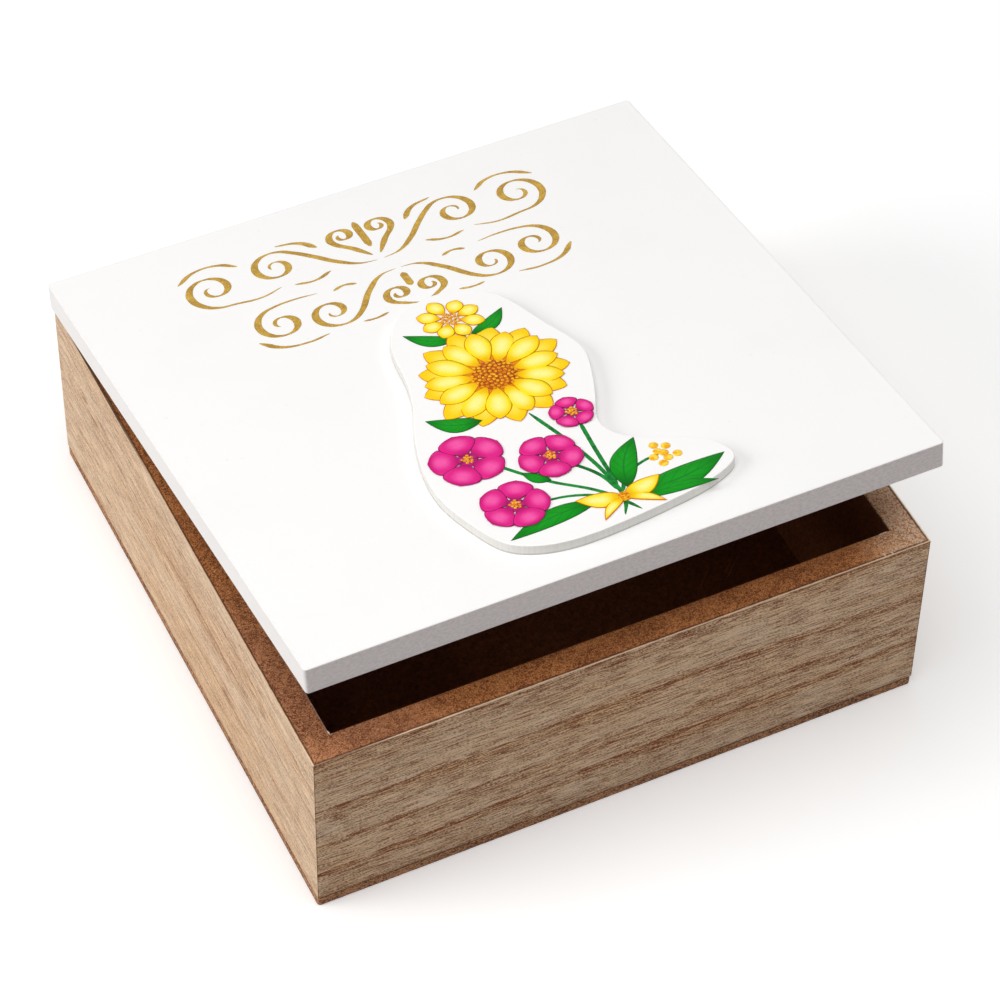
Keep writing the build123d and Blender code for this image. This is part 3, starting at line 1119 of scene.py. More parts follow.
def buildSeedHead():
    tree, given, out = newTree("seed head", [
        ("Seeds", "int"), ("Spacing", "float"), ("Seed Radius", "float"), ("Height", "float"),
        ("Material", "material"),
    ])
    goldenAngle = math.radians(137.508)
    points = addNode(tree, "GeometryNodePoints", Count=given["Seeds"])
    index = addNode(tree, "GeometryNodeInputIndex").outputs[0]
    angle = times(tree, index, goldenAngle)
    radius = times(tree, calc(tree, "SQRT", index), given["Spacing"])
    spot = combine(
        tree,
        X=times(tree, calc(tree, "COSINE", angle), radius),
        Y=times(tree, calc(tree, "SINE", angle), radius),
    )
    placed = addNode(tree, "GeometryNodeSetPosition", Geometry=points.outputs[0], Position=spot)
    ball = addNode(tree, "GeometryNodeMeshUVSphere", Segments=10, Rings=6, Radius=1.0)
    size = combine(tree, X=given["Seed Radius"], Y=given["Seed Radius"], Z=given["Height"])
    squashed = addNode(tree, "GeometryNodeTransform", Geometry=ball.outputs["Mesh"], Scale=size)
    seeds = addNode(
        tree, "GeometryNodeInstanceOnPoints", Points=placed.outputs[0], Instance=squashed.outputs[0]
    )
    finishTree(tree, seeds.outputs[0], given["Material"], out)
    return tree


penLook = {
    "step": 0.0005,
    "nibSides": 12,
    # how fast a stroke swells as it turns upright, and what share of its width is left at its ends
    "swelling": 1.5,
    "tip": 0.14,
    "tipBluntness": 0.6,
}


def buildPenStroke():
    # a broad-nib pen: wide across the nib, thin along it, tapered at both ends
    look = penLook
    tree, given, out = newTree("pen stroke", [
        ("Thick", "float"), ("Thin", "float"), ("Taper", "float"), ("Ink Height", "float"),
        ("Material", "material"),
    ])
    line = addNode(
        tree, "GeometryNodeResampleCurve", {"mode": "LENGTH"}, Curve=given["Geometry"], Length=look["step"]
    )
    tangent = split(tree, addNode(tree, "GeometryNodeInputTangent").outputs[0])
    downward = calc(tree, "POWER", absolute(tree, tangent[1]), look["swelling"])
    swell = scaled(tree, downward, minus(tree, given["Thick"], given["Thin"]), given["Thin"])
    share = addNode(tree, "GeometryNodeSplineParameter").outputs["Factor"]
    fromEnd = calc(tree, "MINIMUM", share, minus(tree, 1.0, share))
    taper = calc(tree, "DIVIDE", fromEnd, given["Taper"], clamp=True)
    taper = calc(tree, "POWER", taper, look["tipBluntness"])
    taper = scaled(tree, taper, 1 - look["tip"], look["tip"])
    width = times(tree, times(tree, swell, taper), 0.5)
    nib = addNode(tree, "GeometryNodeCurvePrimitiveCircle", Resolution=look["nibSides"], Radius=1.0)
    flatNib = addNode(tree, "GeometryNodeTransform", Geometry=nib.outputs["Curve"])
    wire(tree, combine(tree, X=1.0, Y=given["Ink Height"], Z=1.0), flatNib.inputs["Scale"])
    ribbon = addNode(
        tree, "GeometryNodeCurveToMesh", Curve=line.outputs[0], Scale=width, Fill_Caps=True
    )
    wire(tree, flatNib.outputs[0], ribbon.inputs["Profile Curve"])
    finishTree(tree, ribbon.outputs[0], given["Material"], out)
    return tree


fuzzLook = {
    # the least and the most that a fibre strays from its line (metres), leans (radians) and measures
    "stray": ((-0.0003, -0.0003, -0.00008), (0.0003, 0.0003, 0.00003)),
    "lean": ((1.25, -0.2, 0.0), (1.75, 0.2, 6.283)),
    "share": (0.35, 1.0),
    "sides": 5,
    "tip": 0.25,
}


def buildRimFuzz():
    # loose fibres along a sawn edge: short slivers scattered along a line, each leaning its own way
    look = fuzzLook
    tree, given, out = newTree("rim fuzz", [
        ("Fibres", "int"), ("Length", "float"), ("Radius", "float"), ("Seed", "int"),
        ("Material", "material"),
    ])
    seed = given["Seed"]
    spread = addNode(
        tree, "GeometryNodeResampleCurve", {"mode": "COUNT"}, Curve=given["Geometry"], Count=given["Fibres"]
    )
    points = addNode(tree, "GeometryNodeCurveToPoints", {"mode": "EVALUATED"}, Curve=spread.outputs[0])
    shift = randomValue(tree, "FLOAT_VECTOR", *look["stray"], seed)
    scattered = addNode(
        tree, "GeometryNodeSetPosition", Geometry=points.outputs["Points"], Offset=shift
    )
    sliver = addNode(
        tree, "GeometryNodeMeshCone",
        Vertices=look["sides"], Radius_Top=look["tip"], Radius_Bottom=1.0, Depth=1.0,
    )
    lean = randomValue(tree, "FLOAT_VECTOR", *look["lean"], plus(tree, seed, 7.0))
    longer = randomValue(tree, "FLOAT", *look["share"], plus(tree, seed, 13.0))
    fibres = addNode(
        tree, "GeometryNodeInstanceOnPoints",
        Points=scattered.outputs[0],
        Instance=sliver.outputs["Mesh"],
        Rotation=addNode(tree, "FunctionNodeEulerToRotation", Euler=lean).outputs[0],
        Scale=combine(tree, X=given["Radius"], Y=given["Radius"], Z=times(tree, longer, given["Length"])),
    )
    finishTree(tree, fibres.outputs[0], given["Material"], out)
    return tree


petalRing = buildPetalRing()
seedHead = buildSeedHead()
penStroke = buildPenStroke()
rimFuzz = buildRimFuzz()
print("7  geometry trees are ready")


# printing inks and gold paint
def attribute(tree, name):
    made = addNode(tree, "ShaderNodeAttribute", {"attribute_type": "GEOMETRY", "attribute_name": name})
    return made.outputs["Fac"]


inkSheen = {"specular": 0.10, "reliefDepth": 0.00001, "relief": 0.5}


def inkMaterial(name, finish):
    # a printed petal or leaf: shaded from base to tip, a highlight down the middle, an outline
    material, tree, shader, place = startMaterial(name)
    along = attribute(tree, "along")
    across = absolute(tree, attribute(tree, "across"))
    gap = attribute(tree, "edgeGap")
    grain = noise(tree, place, 1400.0, 3.0, 0.6)
    shaded = mixColour(tree, ease(tree, along, *finish["baseReach"]), finish["base"], finish["body"])
    shaded = mixColour(tree, ease(tree, along, *finish["tipReach"]), shaded, finish["tip"])
    glow = times(tree, ease(tree, along, *finish["glowStart"]), ease(tree, along, *finish["glowEnd"]))
    glow = times(tree, glow, ease(tree, across, finish["glowWidth"], 0.05))
    shaded = mixColour(tree, times(tree, glow, finish["glowAmount"]), shaded, finish["glow"])
    if "vein" in finish:
        spread = scaled(tree, across, -0.22, along)
        lines = calc(tree, "FRACT", times(tree, spread, finish["vein"]))
        lines = absolute(tree, centred(tree, lines))
        lines = calc(tree, "MAXIMUM", ease(tree, lines, 0.07, 0.02), ease(tree, across, 0.09, 0.04))
        shaded = mixColour(tree, times(tree, lines, finish["veinAmount"]), shaded, finish["veinColour"])
    width = finish["line"]
    outline = ease(tree, scaled(tree, centred(tree, grain), 0.0002, gap), width, width * 0.45)
    inked = mixColour(tree, outline, shaded, finish["outline"])
    dots = ease(tree, noise(tree, place, 4200.0, 1.0, 0.5), 0.35, 0.65, 0.93, 1.05)
    colour = vectorCalc(tree, "MULTIPLY", inked, greyVector(tree, dots))
    finishSurface(tree, shader, inkSheen, colour, scaled(tree, grain, 0.2, 0.28), grain)
    return material


goldPetal = {
    "base": tone(236, 164, 8), "body": tone(255, 230, 24), "tip": tone(250, 208, 12),
    "baseReach": (0.0, 0.42), "tipReach": (0.62, 1.0), "glow": tone(255, 248, 158),
    "glowStart": (0.22, 0.48), "glowEnd": (0.92, 0.62), "glowWidth": 0.85, "glowAmount": 0.85,
    "outline": tone(222, 116, 6), "line": 0.00036,
}
goldPetalBack = dict(
    goldPetal, body=tone(252, 208, 16), base=tone(222, 136, 6), glow=tone(255, 236, 92), glowAmount=0.7,
)
magentaPetal = {
    "base": tone(138, 8, 76), "body": tone(224, 34, 134), "tip": tone(198, 18, 114),
    "baseReach": (0.0, 0.40), "tipReach": (0.70, 1.0), "glow": tone(248, 100, 176),
    "glowStart": (0.30, 0.55), "glowEnd": (0.95, 0.70), "glowWidth": 0.75, "glowAmount": 0.75,
    "outline": tone(134, 8, 80), "line": 0.00032,
}
leafInk = {
    "base": tone(3, 92, 14), "body": tone(6, 142, 18), "tip": tone(4, 118, 16),
    "baseReach": (0.0, 0.35), "tipReach": (0.6, 1.0), "glow": tone(36, 164, 44),
    "glowStart": (0.2, 0.45), "glowEnd": (0.9, 0.6), "glowWidth": 0.9, "glowAmount": 0.4,
    "outline": tone(4, 84, 28), "line": 0.00030,
    "vein": 7.0, "veinAmount": 0.55, "veinColour": tone(4, 96, 32),
}
goldInk = inkMaterial("gold petal ink", goldPetal)
goldInkBack = inkMaterial("gold petal ink behind", goldPetalBack)
magentaInk = inkMaterial("magenta petal ink", magentaPetal)
greenInk = inkMaterial("green leaf ink", leafInk)


plainSheen = {"specular": 0.12, "reliefDepth": 0.00002, "relief": 0.5}


def plainInk(name, light, dark, scale, gloss=0.35):
    material, tree, shader, place = startMaterial(name)
    cloud = noise(tree, place, scale, 3.0, 0.6)
    colour = mixColour(tree, ease(tree, cloud, 0.36, 0.64), dark, light)
    finishSurface(tree, shader, plainSheen, colour, scaled(tree, cloud, 0.2, gloss - 0.1), cloud)
    return material


seedInk = plainInk("seed head ink", tone(250, 190, 30), tone(206, 106, 10), 1300.0)
discInk = plainInk("disc ink", tone(196, 98, 14), tone(148, 62, 10), 900.0)
stemInk = plainInk("stem ink", tone(22, 140, 52), tone(6, 96, 34), 500.0)
throatInk = plainInk("throat ink", tone(196, 30, 128), tone(132, 12, 82), 900.0)
berryInk = plainInk("berry ink", tone(255, 220, 70), tone(240, 166, 20), 700.0)


goldFinish = {
    "thin": tone(170, 127, 32),
    "full": tone(200, 160, 54),
    "bright": tone(232, 200, 104),
    "dull": tone(128, 84, 16),
    "flakeScale": 5200.0,
    "metallic": 0.35,
    "roughness": 0.34,
    "flakeRoughness": 0.25,
    "specular": 0.5,
    "reliefDepth": 0.00002,
    "relief": 0.6,
}


def paintGold():
    # screen-printed gold: fine metal flakes in an ochre binder, thinner here and there
    look = goldFinish
    material, tree, shader, place = startMaterial("gold paint")
    flat = lidCoordinates(tree, place)
    flakes = addNode(tree, "ShaderNodeTexVoronoi", Vector=flat, Scale=look["flakeScale"])
    flake = split(tree, flakes.outputs["Color"])[0]
    cloud = noise(tree, flat, 260.0, 3.0, 0.6)
    body = mixColour(tree, ease(tree, cloud, 0.35, 0.66), look["thin"], look["full"])
    body = mixColour(tree, ease(tree, flake, 0.62, 1.0, 0.0, 0.6), body, look["bright"])
    body = mixColour(tree, ease(tree, flake, 0.36, 0.0, 0.0, 0.55), body, look["dull"])
    rough = scaled(tree, flake, look["flakeRoughness"], look["roughness"])
    finishSurface(tree, shader, look, body, rough, flake)
    return material


goldPaint = paintGold()


# gold scrollwork on the lid
def curl(x, y, outer, inner, start, turns):
    # a volute round (x, y): from the outer to the inner radius, anticlockwise where turns is positive
    steps = max(6, int(abs(turns) * 12))
    points = []
    for step in range(steps + 1):
        share = step / steps
        radius = outer + (inner - outer) * share ** 0.8
        angle = math.radians(start) + 2 * math.pi * turns * share
        points.append((x + radius * math.cos(angle), y + radius * math.sin(angle)))
    return points


scrollwork = {
    "thick": 2.2 * mm,
    "thin": 0.70 * mm,
    "taper": 0.16,
    "inkHeight": 0.05,
    "lift": 0.01 * mm,
    # each row: its middle on the lid (right of centre, back from the front edge), the strokes of
    # its right half in millimetres from that middle, mirrored for the left, and its middle drop
    "rows": [
        {
            "middle": (-4.5, 156.0),
            "strokes": [
                [(1.0, -9.6), (6.0, -8.6), (11.4, -4.6), (16.2, 0.8)] + curl(27.5, 1.2, 8.0, 1.3, 150, -1.45),
                [(1.2, -6.8), (4.6, -1.8)] + curl(5.4, 5.6, 4.0, 1.0, -20, 1.2),
                [(29.5, -8.0), (36.0, -9.7), (43.0, -9.0)] + curl(46.8, 0.2, 8.4, 1.4, -74, 1.4),
                [(13.5, 4.2), (17.5, 8.6), (24.0, 10.4)],
                [(36.6, 7.0), (41.5, 10.2), (48.5, 10.4), (54.8, 6.6)],
                [(14.5, -7.8), (20.0, -9.8), (26.0, -8.8)],
            ],
            "drop": [(0, -2.8), (0, 3.0), (0, 10.2)],
        },
        {
            "middle": (-2.0, 131.6),
            "strokes": [
                [(0.8, 8.6), (5.6, 7.8), (11.0, 3.2)] + curl(24.0, -1.2, 7.6, 1.2, 212, 1.42),
                [(0.9, -9.0), (4.9, -7.2)] + curl(4.7, -2.4, 4.0, 1.0, -32, 1.2),
                [(24.5, 8.8), (31.0, 9.4)] + curl(38.4, 0.8, 8.2, 1.2, 96, -1.4),
                [(10.6, -8.8), (14.6, -9.6), (18.4, -9.2)],
                [(28.6, -9.6), (35.5, -10.4), (42.6, -8.8), (47.4, -4.2)],
                [(13.0, 7.6), (16.6, 8.6), (20.2, 7.6)],
            ],
            "drop": [(0, -0.6), (0, 2.6), (0, 6.0)],
        },
    ],
}


def curveThrough(strokes, name):
    data = bpy.data.curves.new(name, "CURVE")
    data.dimensions = "3D"
    data.resolution_u = 16
    for stroke in strokes:
        spline = data.splines.new("BEZIER")
        spline.bezier_points.add(len(stroke) - 1)
        for point, (x, y) in zip(spline.bezier_points, stroke):
            point.co = (x * mm, y * mm, 0)
            point.handle_left_type = point.handle_right_type = "AUTO"
    return data


def drawScrolls():
    strokes = []
    for row in scrollwork["rows"]:
        middleX, middleY = row["middle"]
        for stroke in row["strokes"]:
            for side in (1, -1):
                strokes.append([(middleX + side * x, middleY + y) for x, y in stroke])
        strokes.append([(middleX + x, middleY + y) for x, y in row["drop"]])
    piece = growPiece(
        "gold_scrollwork", penStroke,
        {
            "Thick": scrollwork["thick"], "Thin": scrollwork["thin"], "Taper": scrollwork["taper"],
            "Ink Height": scrollwork["inkHeight"], "Material": goldPaint,
        },
        lidTop @ Matrix.Translation((0, 0, scrollwork["lift"])),
        curveThrough(strokes, "scroll lines"),
    )
    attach(piece, "lid")


drawScrolls()
print("8  gold scrollwork drawn")

# printed bouquet on the plaque
bouquet = {
    "daisy": {"middle": (-3.0, 71.0), "petals": 13, "inner": 5.6, "length": 14.6, "width": 7.9, "disc": 6.3},
    "bud": {"middle": (-3.0, 99.0), "petals": 8, "inner": 2.2, "length": 7.0, "width": 5.0},
    "blossoms": [
        {"middle": (-24.5, 42.0), "radius": 10.6, "turn": 0.3},
        {"middle": (-21.5, 19.5), "radius": 9.6, "turn": 1.1},
        {"middle": (-5.0, 33.0), "radius": 9.0, "turn": 0.7},
        {"middle": (8.0, 46.5), "radius": 6.4, "turn": 0.2},
    ],
    # leaves and ribbon: foot, tip, widest half width, bend
    "leaves": [
        ((7, 9), (35.4, 12.6), 4.3, -2.0),
        ((7, 12), (17.5, 29.5), 3.7, 1.8),
        ((-2, 11), (-28.5, 7.5), 3.2, -1.4),
        ((7, 7), (29, 3.6), 2.3, 1.0),
        ((-5, 90), (-17.5, 98.5), 2.4, 1.6),
        ((-1, 90), (11.5, 97.0), 2.4, -1.6),
        ((-9, 24), (-14.5, 30.5), 1.8, 0.6),
        ((-14, 55), (-27.5, 62), 3.0, 2.0),
    ],
    "stems": [
        [(-2, 52), (2.4, 34), (4.6, 18), (4.2, 8), (1.6, 2.6)],
        [(-20, 38), (-10.5, 25), (0.5, 13.5), (4.0, 7.5), (6.4, 2.6)],
        [(-17, 18), (-6, 15.5), (1.5, 10.5), (4.8, 6)],
        [(-3, 30), (3.0, 20), (4.6, 12)],
        [(8, 42), (6.4, 28), (5.2, 14)],
        [(-3, 93), (-3, 86), (-3, 80)],
        [(5, 11), (9, 16.5), (15, 19.4), (20.5, 20.2)],
    ],
    "ribbon": [
        ((4.6, 9.2), (-7.4, 13.4), 3.0, 0.8),
        ((4.4, 9.2), (16.4, 12.6), 3.0, -0.8),
        ((4.6, 8.8), (-4.0, 2.8), 1.5, -1.0),
        ((4.4, 8.8), (13.4, 2.4), 1.5, 1.0),
    ],
    "knot": {"middle": (4.5, 9.1), "radius": 1.9},
    "berries": {"middle": (21.5, 20.0), "count": 8, "spacing": 1.62, "radius": 1.35},
    # how high each layer of print lies over the plaque, and the step from one leaf or flower to the next
    "lift": {
        "stems": 0.01, "leaves": 0.01, "berries": 0.04, "daisyBack": 0.10, "bud": 0.12, "disc": 0.14,
        "ribbon": 0.16, "daisyFront": 0.17, "knot": 0.18, "budSeeds": 0.18, "blossoms": 0.22, "hearts": 0.31,
        "seeds": 0.34,
    },
    "leafStep": 0.012,
    "blossomStep": 0.05,
}


def leafPiece(name, foot, tip, halfWidth, bend, lift, material):
    # a pointed leaf between two points, bowed sideways, as a thin closed shell
    columns, rows = 18, 8
    start, end = Vector(foot), Vector(tip)
    run = end - start
    length = run.length
    forward = run.normalized()
    sideways = Vector((-forward.y, forward.x))
    points, along, across, gaps = [], [], [], []
    for level in (0.0, 0.05):
        for column in range(columns + 1):
            u = column / columns
            width = max(halfWidth * math.sin(math.pi * u ** 0.85) ** 0.9, 0.04)
            middle = start + forward * (u * length) + sideways * (bend * math.sin(math.pi * u))
            for row in range(rows + 1):
                v = 2 * row / rows - 1
                spot = middle + sideways * (v * width)
                dome = 0.05 * (1 - v * v) if level else 0.0
                points.append((spot.x * mm, spot.y * mm, (level + dome + lift) * mm))
                along.append(u)
                across.append(v)
                gaps.append((1 - abs(v)) * width * mm)
    layer = (columns + 1) * (rows + 1)

    def at(level, column, row):
        return level * layer + column * (rows + 1) + row

    faces = []
    for column in range(columns):
        for row in range(rows):
            corners = [(column, row), (column + 1, row), (column + 1, row + 1), (column, row + 1)]
            faces.append([at(1, *corner) for corner in corners])
            faces.append([at(0, *corner) for corner in reversed(corners)])
        for row, flip in ((0, False), (rows, True)):
            wall = [at(0, column, row), at(0, column + 1, row), at(1, column + 1, row), at(1, column, row)]
            faces.append(wall[::-1] if flip else wall)
    for row in range(rows):
        for column, flip in ((0, True), (columns, False)):
            wall = [at(0, column, row), at(0, column, row + 1), at(1, column, row + 1), at(1, column, row)]
            faces.append(wall[::-1] if flip else wall)
    mesh = bpy.data.meshes.new(name)
    mesh.from_pydata(points, [], faces)
    for label, values in (("along", along), ("across", across), ("edgeGap", gaps)):
        mesh.attributes.new(label, "FLOAT", "POINT").data.foreach_set("value", values)
    for polygon in mesh.polygons:
        polygon.use_smooth = True
    mesh.materials.append(material)
    mesh.transform(plaqueTop)
    return putInScene(name, mesh)


def onPlaque(x, y, lift):
    return plaqueTop @ Matrix.Translation((x * mm, y * mm, lift * mm))


def ringInputs(petals, inner, length, width, fullness, turn, material, seed, unevenness=0.12):
    return {
        "Petals": petals, "Inner Radius": inner * mm, "Petal Length": length * mm, "Petal Width": width * mm,
        "Fullness": fullness, "First Turn": turn, "Unevenness": unevenness, "Thickness": 0.04 * mm,
        "Dome": 0.06 * mm, "Seed": seed, "Material": material,
    }


def discPiece(name, radius, height, material, place):
    # a low button with a rounded shoulder
    rings, around = 6, 36
    points = [(0, 0, height)]
    for ring in range(1, rings + 1):
        share = ring / rings
        level = height * math.sqrt(max(1 - share ** 3, 0.0))
        for step in range(around):
            angle = 2 * math.pi * step / around
            points.append((radius * share * math.cos(angle), radius * share * math.sin(angle), level))
    faces = [[0, 1 + step, 1 + (step + 1) % around] for step in range(around)]
    for ring in range(rings - 1):
        first, second = 1 + ring * around, 1 + (ring + 1) * around
        for step in range(around):
            following = (step + 1) % around
            faces.append([first + step, second + step, second + following, first + following])
    last = 1 + (rings - 1) * around
    faces.append([last + step for step in reversed(range(around))])
    mesh = bpy.data.meshes.new(name)
    mesh.from_pydata([(x * mm, y * mm, z * mm) for x, y, z in points], [], faces)
    mesh.materials.append(material)
    mesh.transform(place)
    return putInScene(name, mesh)


def seedInputs(seeds, spacing, radius, height, material):
    return {
        "Seeds": seeds, "Spacing": spacing * mm, "Seed Radius": radius * mm,
        "Height": height * mm, "Material": material,
    }


def rideOnLid(piece):
    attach(piece, "lid")


def makeBouquet():
    lift = bouquet["lift"]

    def leafRow(label, material):
        return [
            leafPiece(
                f"{label}{number}", foot, tip, width, bend,
                lift[label] + bouquet["leafStep"] * number, material,
            )
            for number, (foot, tip, width, bend) in enumerate(bouquet[label])
        ]

    leaves = leafRow("leaves", greenInk)
    loops = leafRow("ribbon", goldInk)
    stems = growPiece(
        "printed_stems", penStroke,
        {"Thick": 1.2 * mm, "Thin": 0.9 * mm, "Taper": 0.08, "Ink Height": 0.09, "Material": stemInk},
        onPlaque(0, 0, lift["stems"]), curveThrough(bouquet["stems"], "stem lines"),
    )
    rideOnLid(joinPieces("printed_leaves", leaves))
    rideOnLid(stems)
    rideOnLid(joinPieces("printed_ribbon", loops))
    knot = bouquet["knot"]
    place = onPlaque(*knot["middle"], lift["knot"])
    rideOnLid(discPiece("printed_ribbon_knot", knot["radius"], 0.16, seedInk, place))
    berries = bouquet["berries"]
    rideOnLid(growPiece(
        "printed_berries", seedHead,
        seedInputs(berries["count"], berries["spacing"], berries["radius"], 0.14, berryInk),
        onPlaque(*berries["middle"], lift["berries"]),
    ))

    daisy = bouquet["daisy"]
    x, y = daisy["middle"]
    petals, inner, length, width = (daisy[key] for key in ("petals", "inner", "length", "width"))
    back = growPiece(
        "daisyBack", petalRing,
        ringInputs(petals, inner, length + 0.9, width, 1.25, math.pi / petals, goldInkBack, 3),
        onPlaque(x, y, lift["daisyBack"]),
    )
    front = growPiece(
        "daisyFront", petalRing,
        ringInputs(petals, inner - 1, length - 0.4, width - 0.6, 1.35, 0.0, goldInk, 5),
        onPlaque(x, y, lift["daisyFront"]),
    )
    rideOnLid(joinPieces("printed_daisy", [back, front]))
    rideOnLid(discPiece("printed_daisy_disc", daisy["disc"], 0.22, discInk, onPlaque(x, y, lift["disc"])))
    rideOnLid(growPiece(
        "printed_daisy_seeds", seedHead, seedInputs(74, 0.74, 0.52, 0.12, seedInk),
        onPlaque(x, y, lift["seeds"]),
    ))

    bud = bouquet["bud"]
    x, y = bud["middle"]
    rideOnLid(growPiece(
        "printed_bud", petalRing,
        ringInputs(bud["petals"], bud["inner"], bud["length"], bud["width"], 1.3, 0.2, goldInk, 9),
        onPlaque(x, y, lift["bud"]),
    ))
    rideOnLid(growPiece(
        "printed_bud_seeds", seedHead, seedInputs(26, 0.58, 0.48, 0.12, seedInk),
        onPlaque(x, y, lift["budSeeds"]),
    ))

    for number, blossom in enumerate(bouquet["blossoms"]):
        x, y = blossom["middle"]
        radius = blossom["radius"]
        rise = bouquet["blossomStep"] * number
        flat = onPlaque(x, y, lift["blossoms"] + rise)
        rideOnLid(growPiece(
            f"printed_blossom_{number + 1}", petalRing,
            ringInputs(
                5, 1.0, radius - 1.0, radius * 0.98, 1.55, blossom["turn"], magentaInk, 20 + number, 0.05
            ),
            flat,
        ))
        rideOnLid(discPiece(f"printed_blossom_throat_{number + 1}", radius * 0.27, 0.10, throatInk, flat))
        rideOnLid(growPiece(
            f"printed_blossom_heart_{number + 1}", seedHead, seedInputs(12, 0.48, 0.46, 0.12, seedInk),
            onPlaque(x, y, lift["hearts"] + rise),
        ))


makeBouquet()
print("9  bouquet laid on the plaque")

# loose fibres on the rim
fuzzFinish = {
    "innerReach": 82.05,
    "rimHeight": 59.96,
    "fibres": 620,
    "length": 0.60 * mm,
    "radius": 0.045 * mm,
}


def makeRimFuzz():
    material = plainInk("loose board fibre", tone(196, 134, 92), tone(96, 56, 34), 2200.0, 0.85)
    data = bpy.data.curves.new("rim line", "CURVE")
    data.dimensions = "3D"
    spline = data.splines.new("POLY")
    spline.points.add(3)
    reach, height = fuzzFinish["innerReach"] * mm, fuzzFinish["rimHeight"] * mm
    for point, (x, y) in zip(spline.points, ((-1, -1), (1, -1), (1, 1), (-1, 1))):
        point.co = (x * reach, y * reach, height, 1)
    spline.use_cyclic_u = True
    piece = growPiece("rim_fibres", rimFuzz, {
        "Fibres": fuzzFinish["fibres"], "Length": fuzzFinish["length"],
        "Radius": fuzzFinish["radius"], "Seed": 4, "Material": material,
    }, Matrix.Identity(4), data)
    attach(piece, "box")


makeRimFuzz()


# pale splinters torn out of the rim
tornFinish = {
    "strokes": [
        [(76.3, -88.4), (76.5, -89.95)], [(78.1, -88.4), (78.8, -89.95)], [(77.4, -89.0), (77.6, -89.6)],
        [(54.1, -85.6), (54.9, -85.3)], [(-82.1, -80.9), (-81.9, -82.2)], [(78.4, -82.3), (81.2, -82.2)],
    ],
    "height": 60.0,
    "width": 0.40 * mm,
}


def makeSplinters():
    material = plainInk("pale splinter", tone(255, 246, 232), tone(240, 214, 184), 1500.0, 0.8)
    piece = growPiece(
        "rim_splinters", penStroke,
        {
            "Thick": tornFinish["width"], "Thin": tornFinish["width"], "Taper": 0.2,
            "Ink Height": 0.5, "Material": material,
        },
        Matrix.Translation((0, 0, tornFinish["height"] * mm)),
        curveThrough(tornFinish["strokes"], "splinter lines"),
    )
    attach(piece, "box")


makeSplinters()
print("10 rim fibres scattered")


# studio: pale floor, soft light, camera
studio = {
    "floorHalf": 8.0,
    "floorColour": (0.40, 0.40, 0.40, 1),
    "floorSeen": (0.93, 0.93, 0.93, 1),
    "floorGlow": 0.18,
    "world": 0.17,
    "lampAim": Vector((0, 0, 0.04)),
    "lamps": {
        "above": {"power": 16.6, "size": 1.5, "place": (-0.15, -0.12, 1.50), "mirrored": True},
        "left": {"power": 10.1, "size": 0.80, "place": (-1.25, 0.30, 0.72), "mirrored": False},
        "right": {"power": 1.8, "size": 0.60, "place": (1.22, -0.30, 0.55), "mirrored": False},
    },
}


def chooseByRay(tree, lights, shows, outputKind):
    # one shader lights the object; the other is what the camera, a reflection or glass shows
    ray = addNode(tree, "ShaderNodeLightPath").outputs
    mirrored = calc(tree, "MAXIMUM", ray["Is Glossy Ray"], ray["Is Transmission Ray"])
    seen = calc(tree, "MAXIMUM", ray["Is Camera Ray"], mirrored)
    choose = addNode(tree, "ShaderNodeMixShader")
    for socket, source in zip(choose.inputs, (seen, lights.outputs[0], shows.outputs[0])):
        tree.links.new(source, socket)
    output = addNode(tree, outputKind)
    tree.links.new(choose.outputs[0], output.inputs[0])


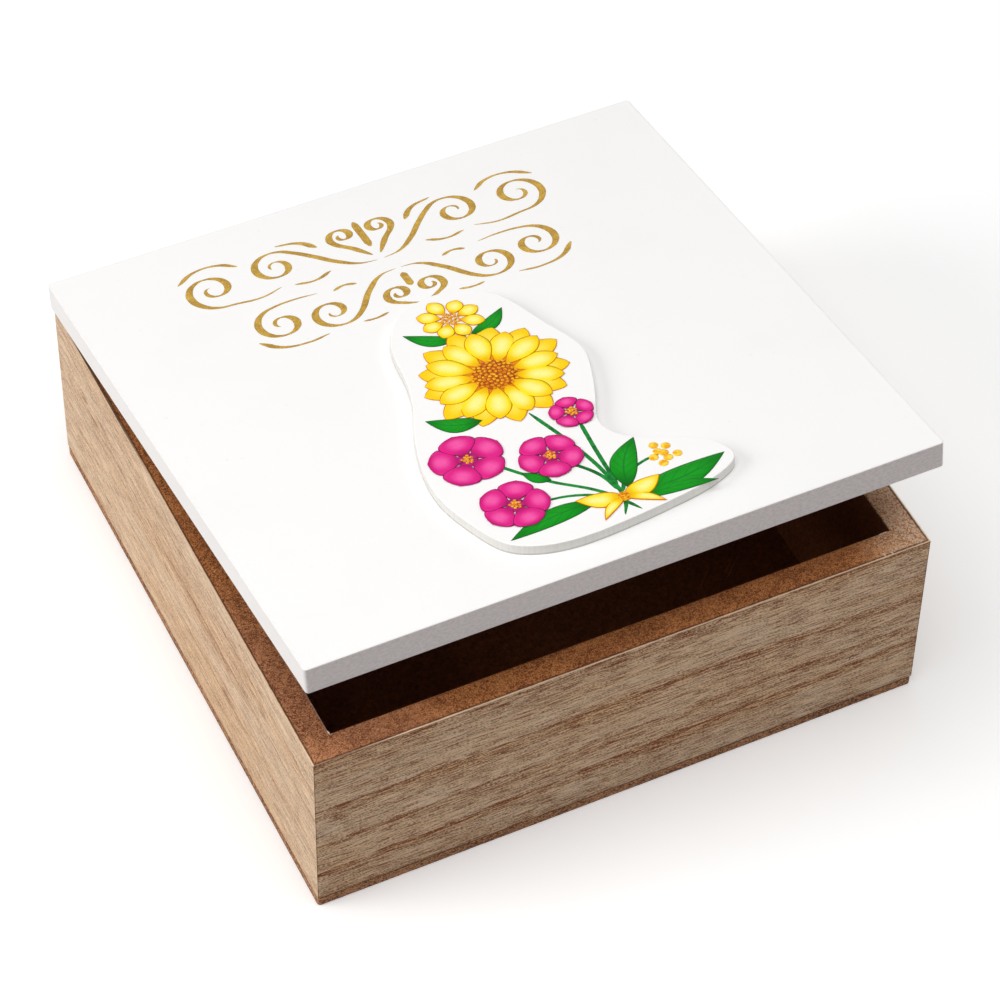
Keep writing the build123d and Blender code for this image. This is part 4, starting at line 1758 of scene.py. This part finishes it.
def makeFloor():
    mesh = bpy.data.meshes.new("floor")
    half = studio["floorHalf"]
    corners = [(-half, -half, 0), (half, -half, 0), (half, half, 0), (-half, half, 0)]
    mesh.from_pydata(corners, [], [(0, 1, 2, 3)])
    material = bpy.data.materials.new("studio floor")
    tree = emptyTree(material)
    diffuse = addNode(tree, "ShaderNodeBsdfDiffuse", Color=studio["floorColour"])
    shown = addNode(tree, "ShaderNodeBsdfDiffuse", Color=studio["floorSeen"])
    glow = addNode(tree, "ShaderNodeEmission", Strength=studio["floorGlow"])
    added = addNode(tree, "ShaderNodeAddShader")
    tree.links.new(shown.outputs[0], added.inputs[0])
    tree.links.new(glow.outputs[0], added.inputs[1])
    chooseByRay(tree, diffuse, added, "ShaderNodeOutputMaterial")
    mesh.materials.append(material)
    putInScene("floor", mesh)


def makeWorld():
    world = bpy.data.worlds.new("studio")
    bpy.context.scene.world = world
    tree = emptyTree(world)
    white = (1, 1, 1, 1)
    soft = addNode(tree, "ShaderNodeBackground", Strength=studio["world"], Color=white)
    shown = addNode(tree, "ShaderNodeBackground", Strength=1.0, Color=white)
    chooseByRay(tree, soft, shown, "ShaderNodeOutputWorld")


def addLamp(name, lamp):
    data = bpy.data.lights.new(name, "AREA")
    data.energy = lamp["power"]
    data.shape = "DISK"
    data.size = lamp["size"]
    made = putInScene(name, data)
    made.location = lamp["place"]
    toBox = studio["lampAim"] - Vector(lamp["place"])
    made.rotation_euler = toBox.to_track_quat("-Z", "Y").to_euler()
    made.visible_camera = False
    made.visible_glossy = lamp["mirrored"]


cameraPose = {
    "place": Vector((-0.32010548, -0.65391649, 0.84066734)),
    "turn": 0.462856,
    "dip": 0.840368,
    "roll": 0.0202848,
    "lens": 140.3113,
}


def makeCamera():
    turn, dip, roll = cameraPose["turn"], cameraPose["dip"], cameraPose["roll"]
    gaze = Vector((math.sin(turn) * math.cos(dip), math.cos(turn) * math.cos(dip), -math.sin(dip)))
    right = gaze.cross(Vector((0, 0, 1))).normalized()
    up = right.cross(gaze)
    rolledRight = math.cos(roll) * right + math.sin(roll) * up
    rolledUp = math.cos(roll) * up - math.sin(roll) * right
    data = bpy.data.cameras.new("camera")
    data.sensor_width = 36
    data.lens = cameraPose["lens"]
    pose = Matrix((rolledRight, rolledUp, -gaze)).transposed().to_4x4()
    pose.translation = cameraPose["place"]
    camera = putInScene("camera", data)
    camera.matrix_world = pose
    bpy.context.scene.camera = camera


makeFloor()
makeWorld()
for lampName, lamp in studio["lamps"].items():
    addLamp(lampName, lamp)
makeCamera()
bpy.context.scene.view_settings.view_transform = "Standard"
print("11 studio is lit")

print("12 done")
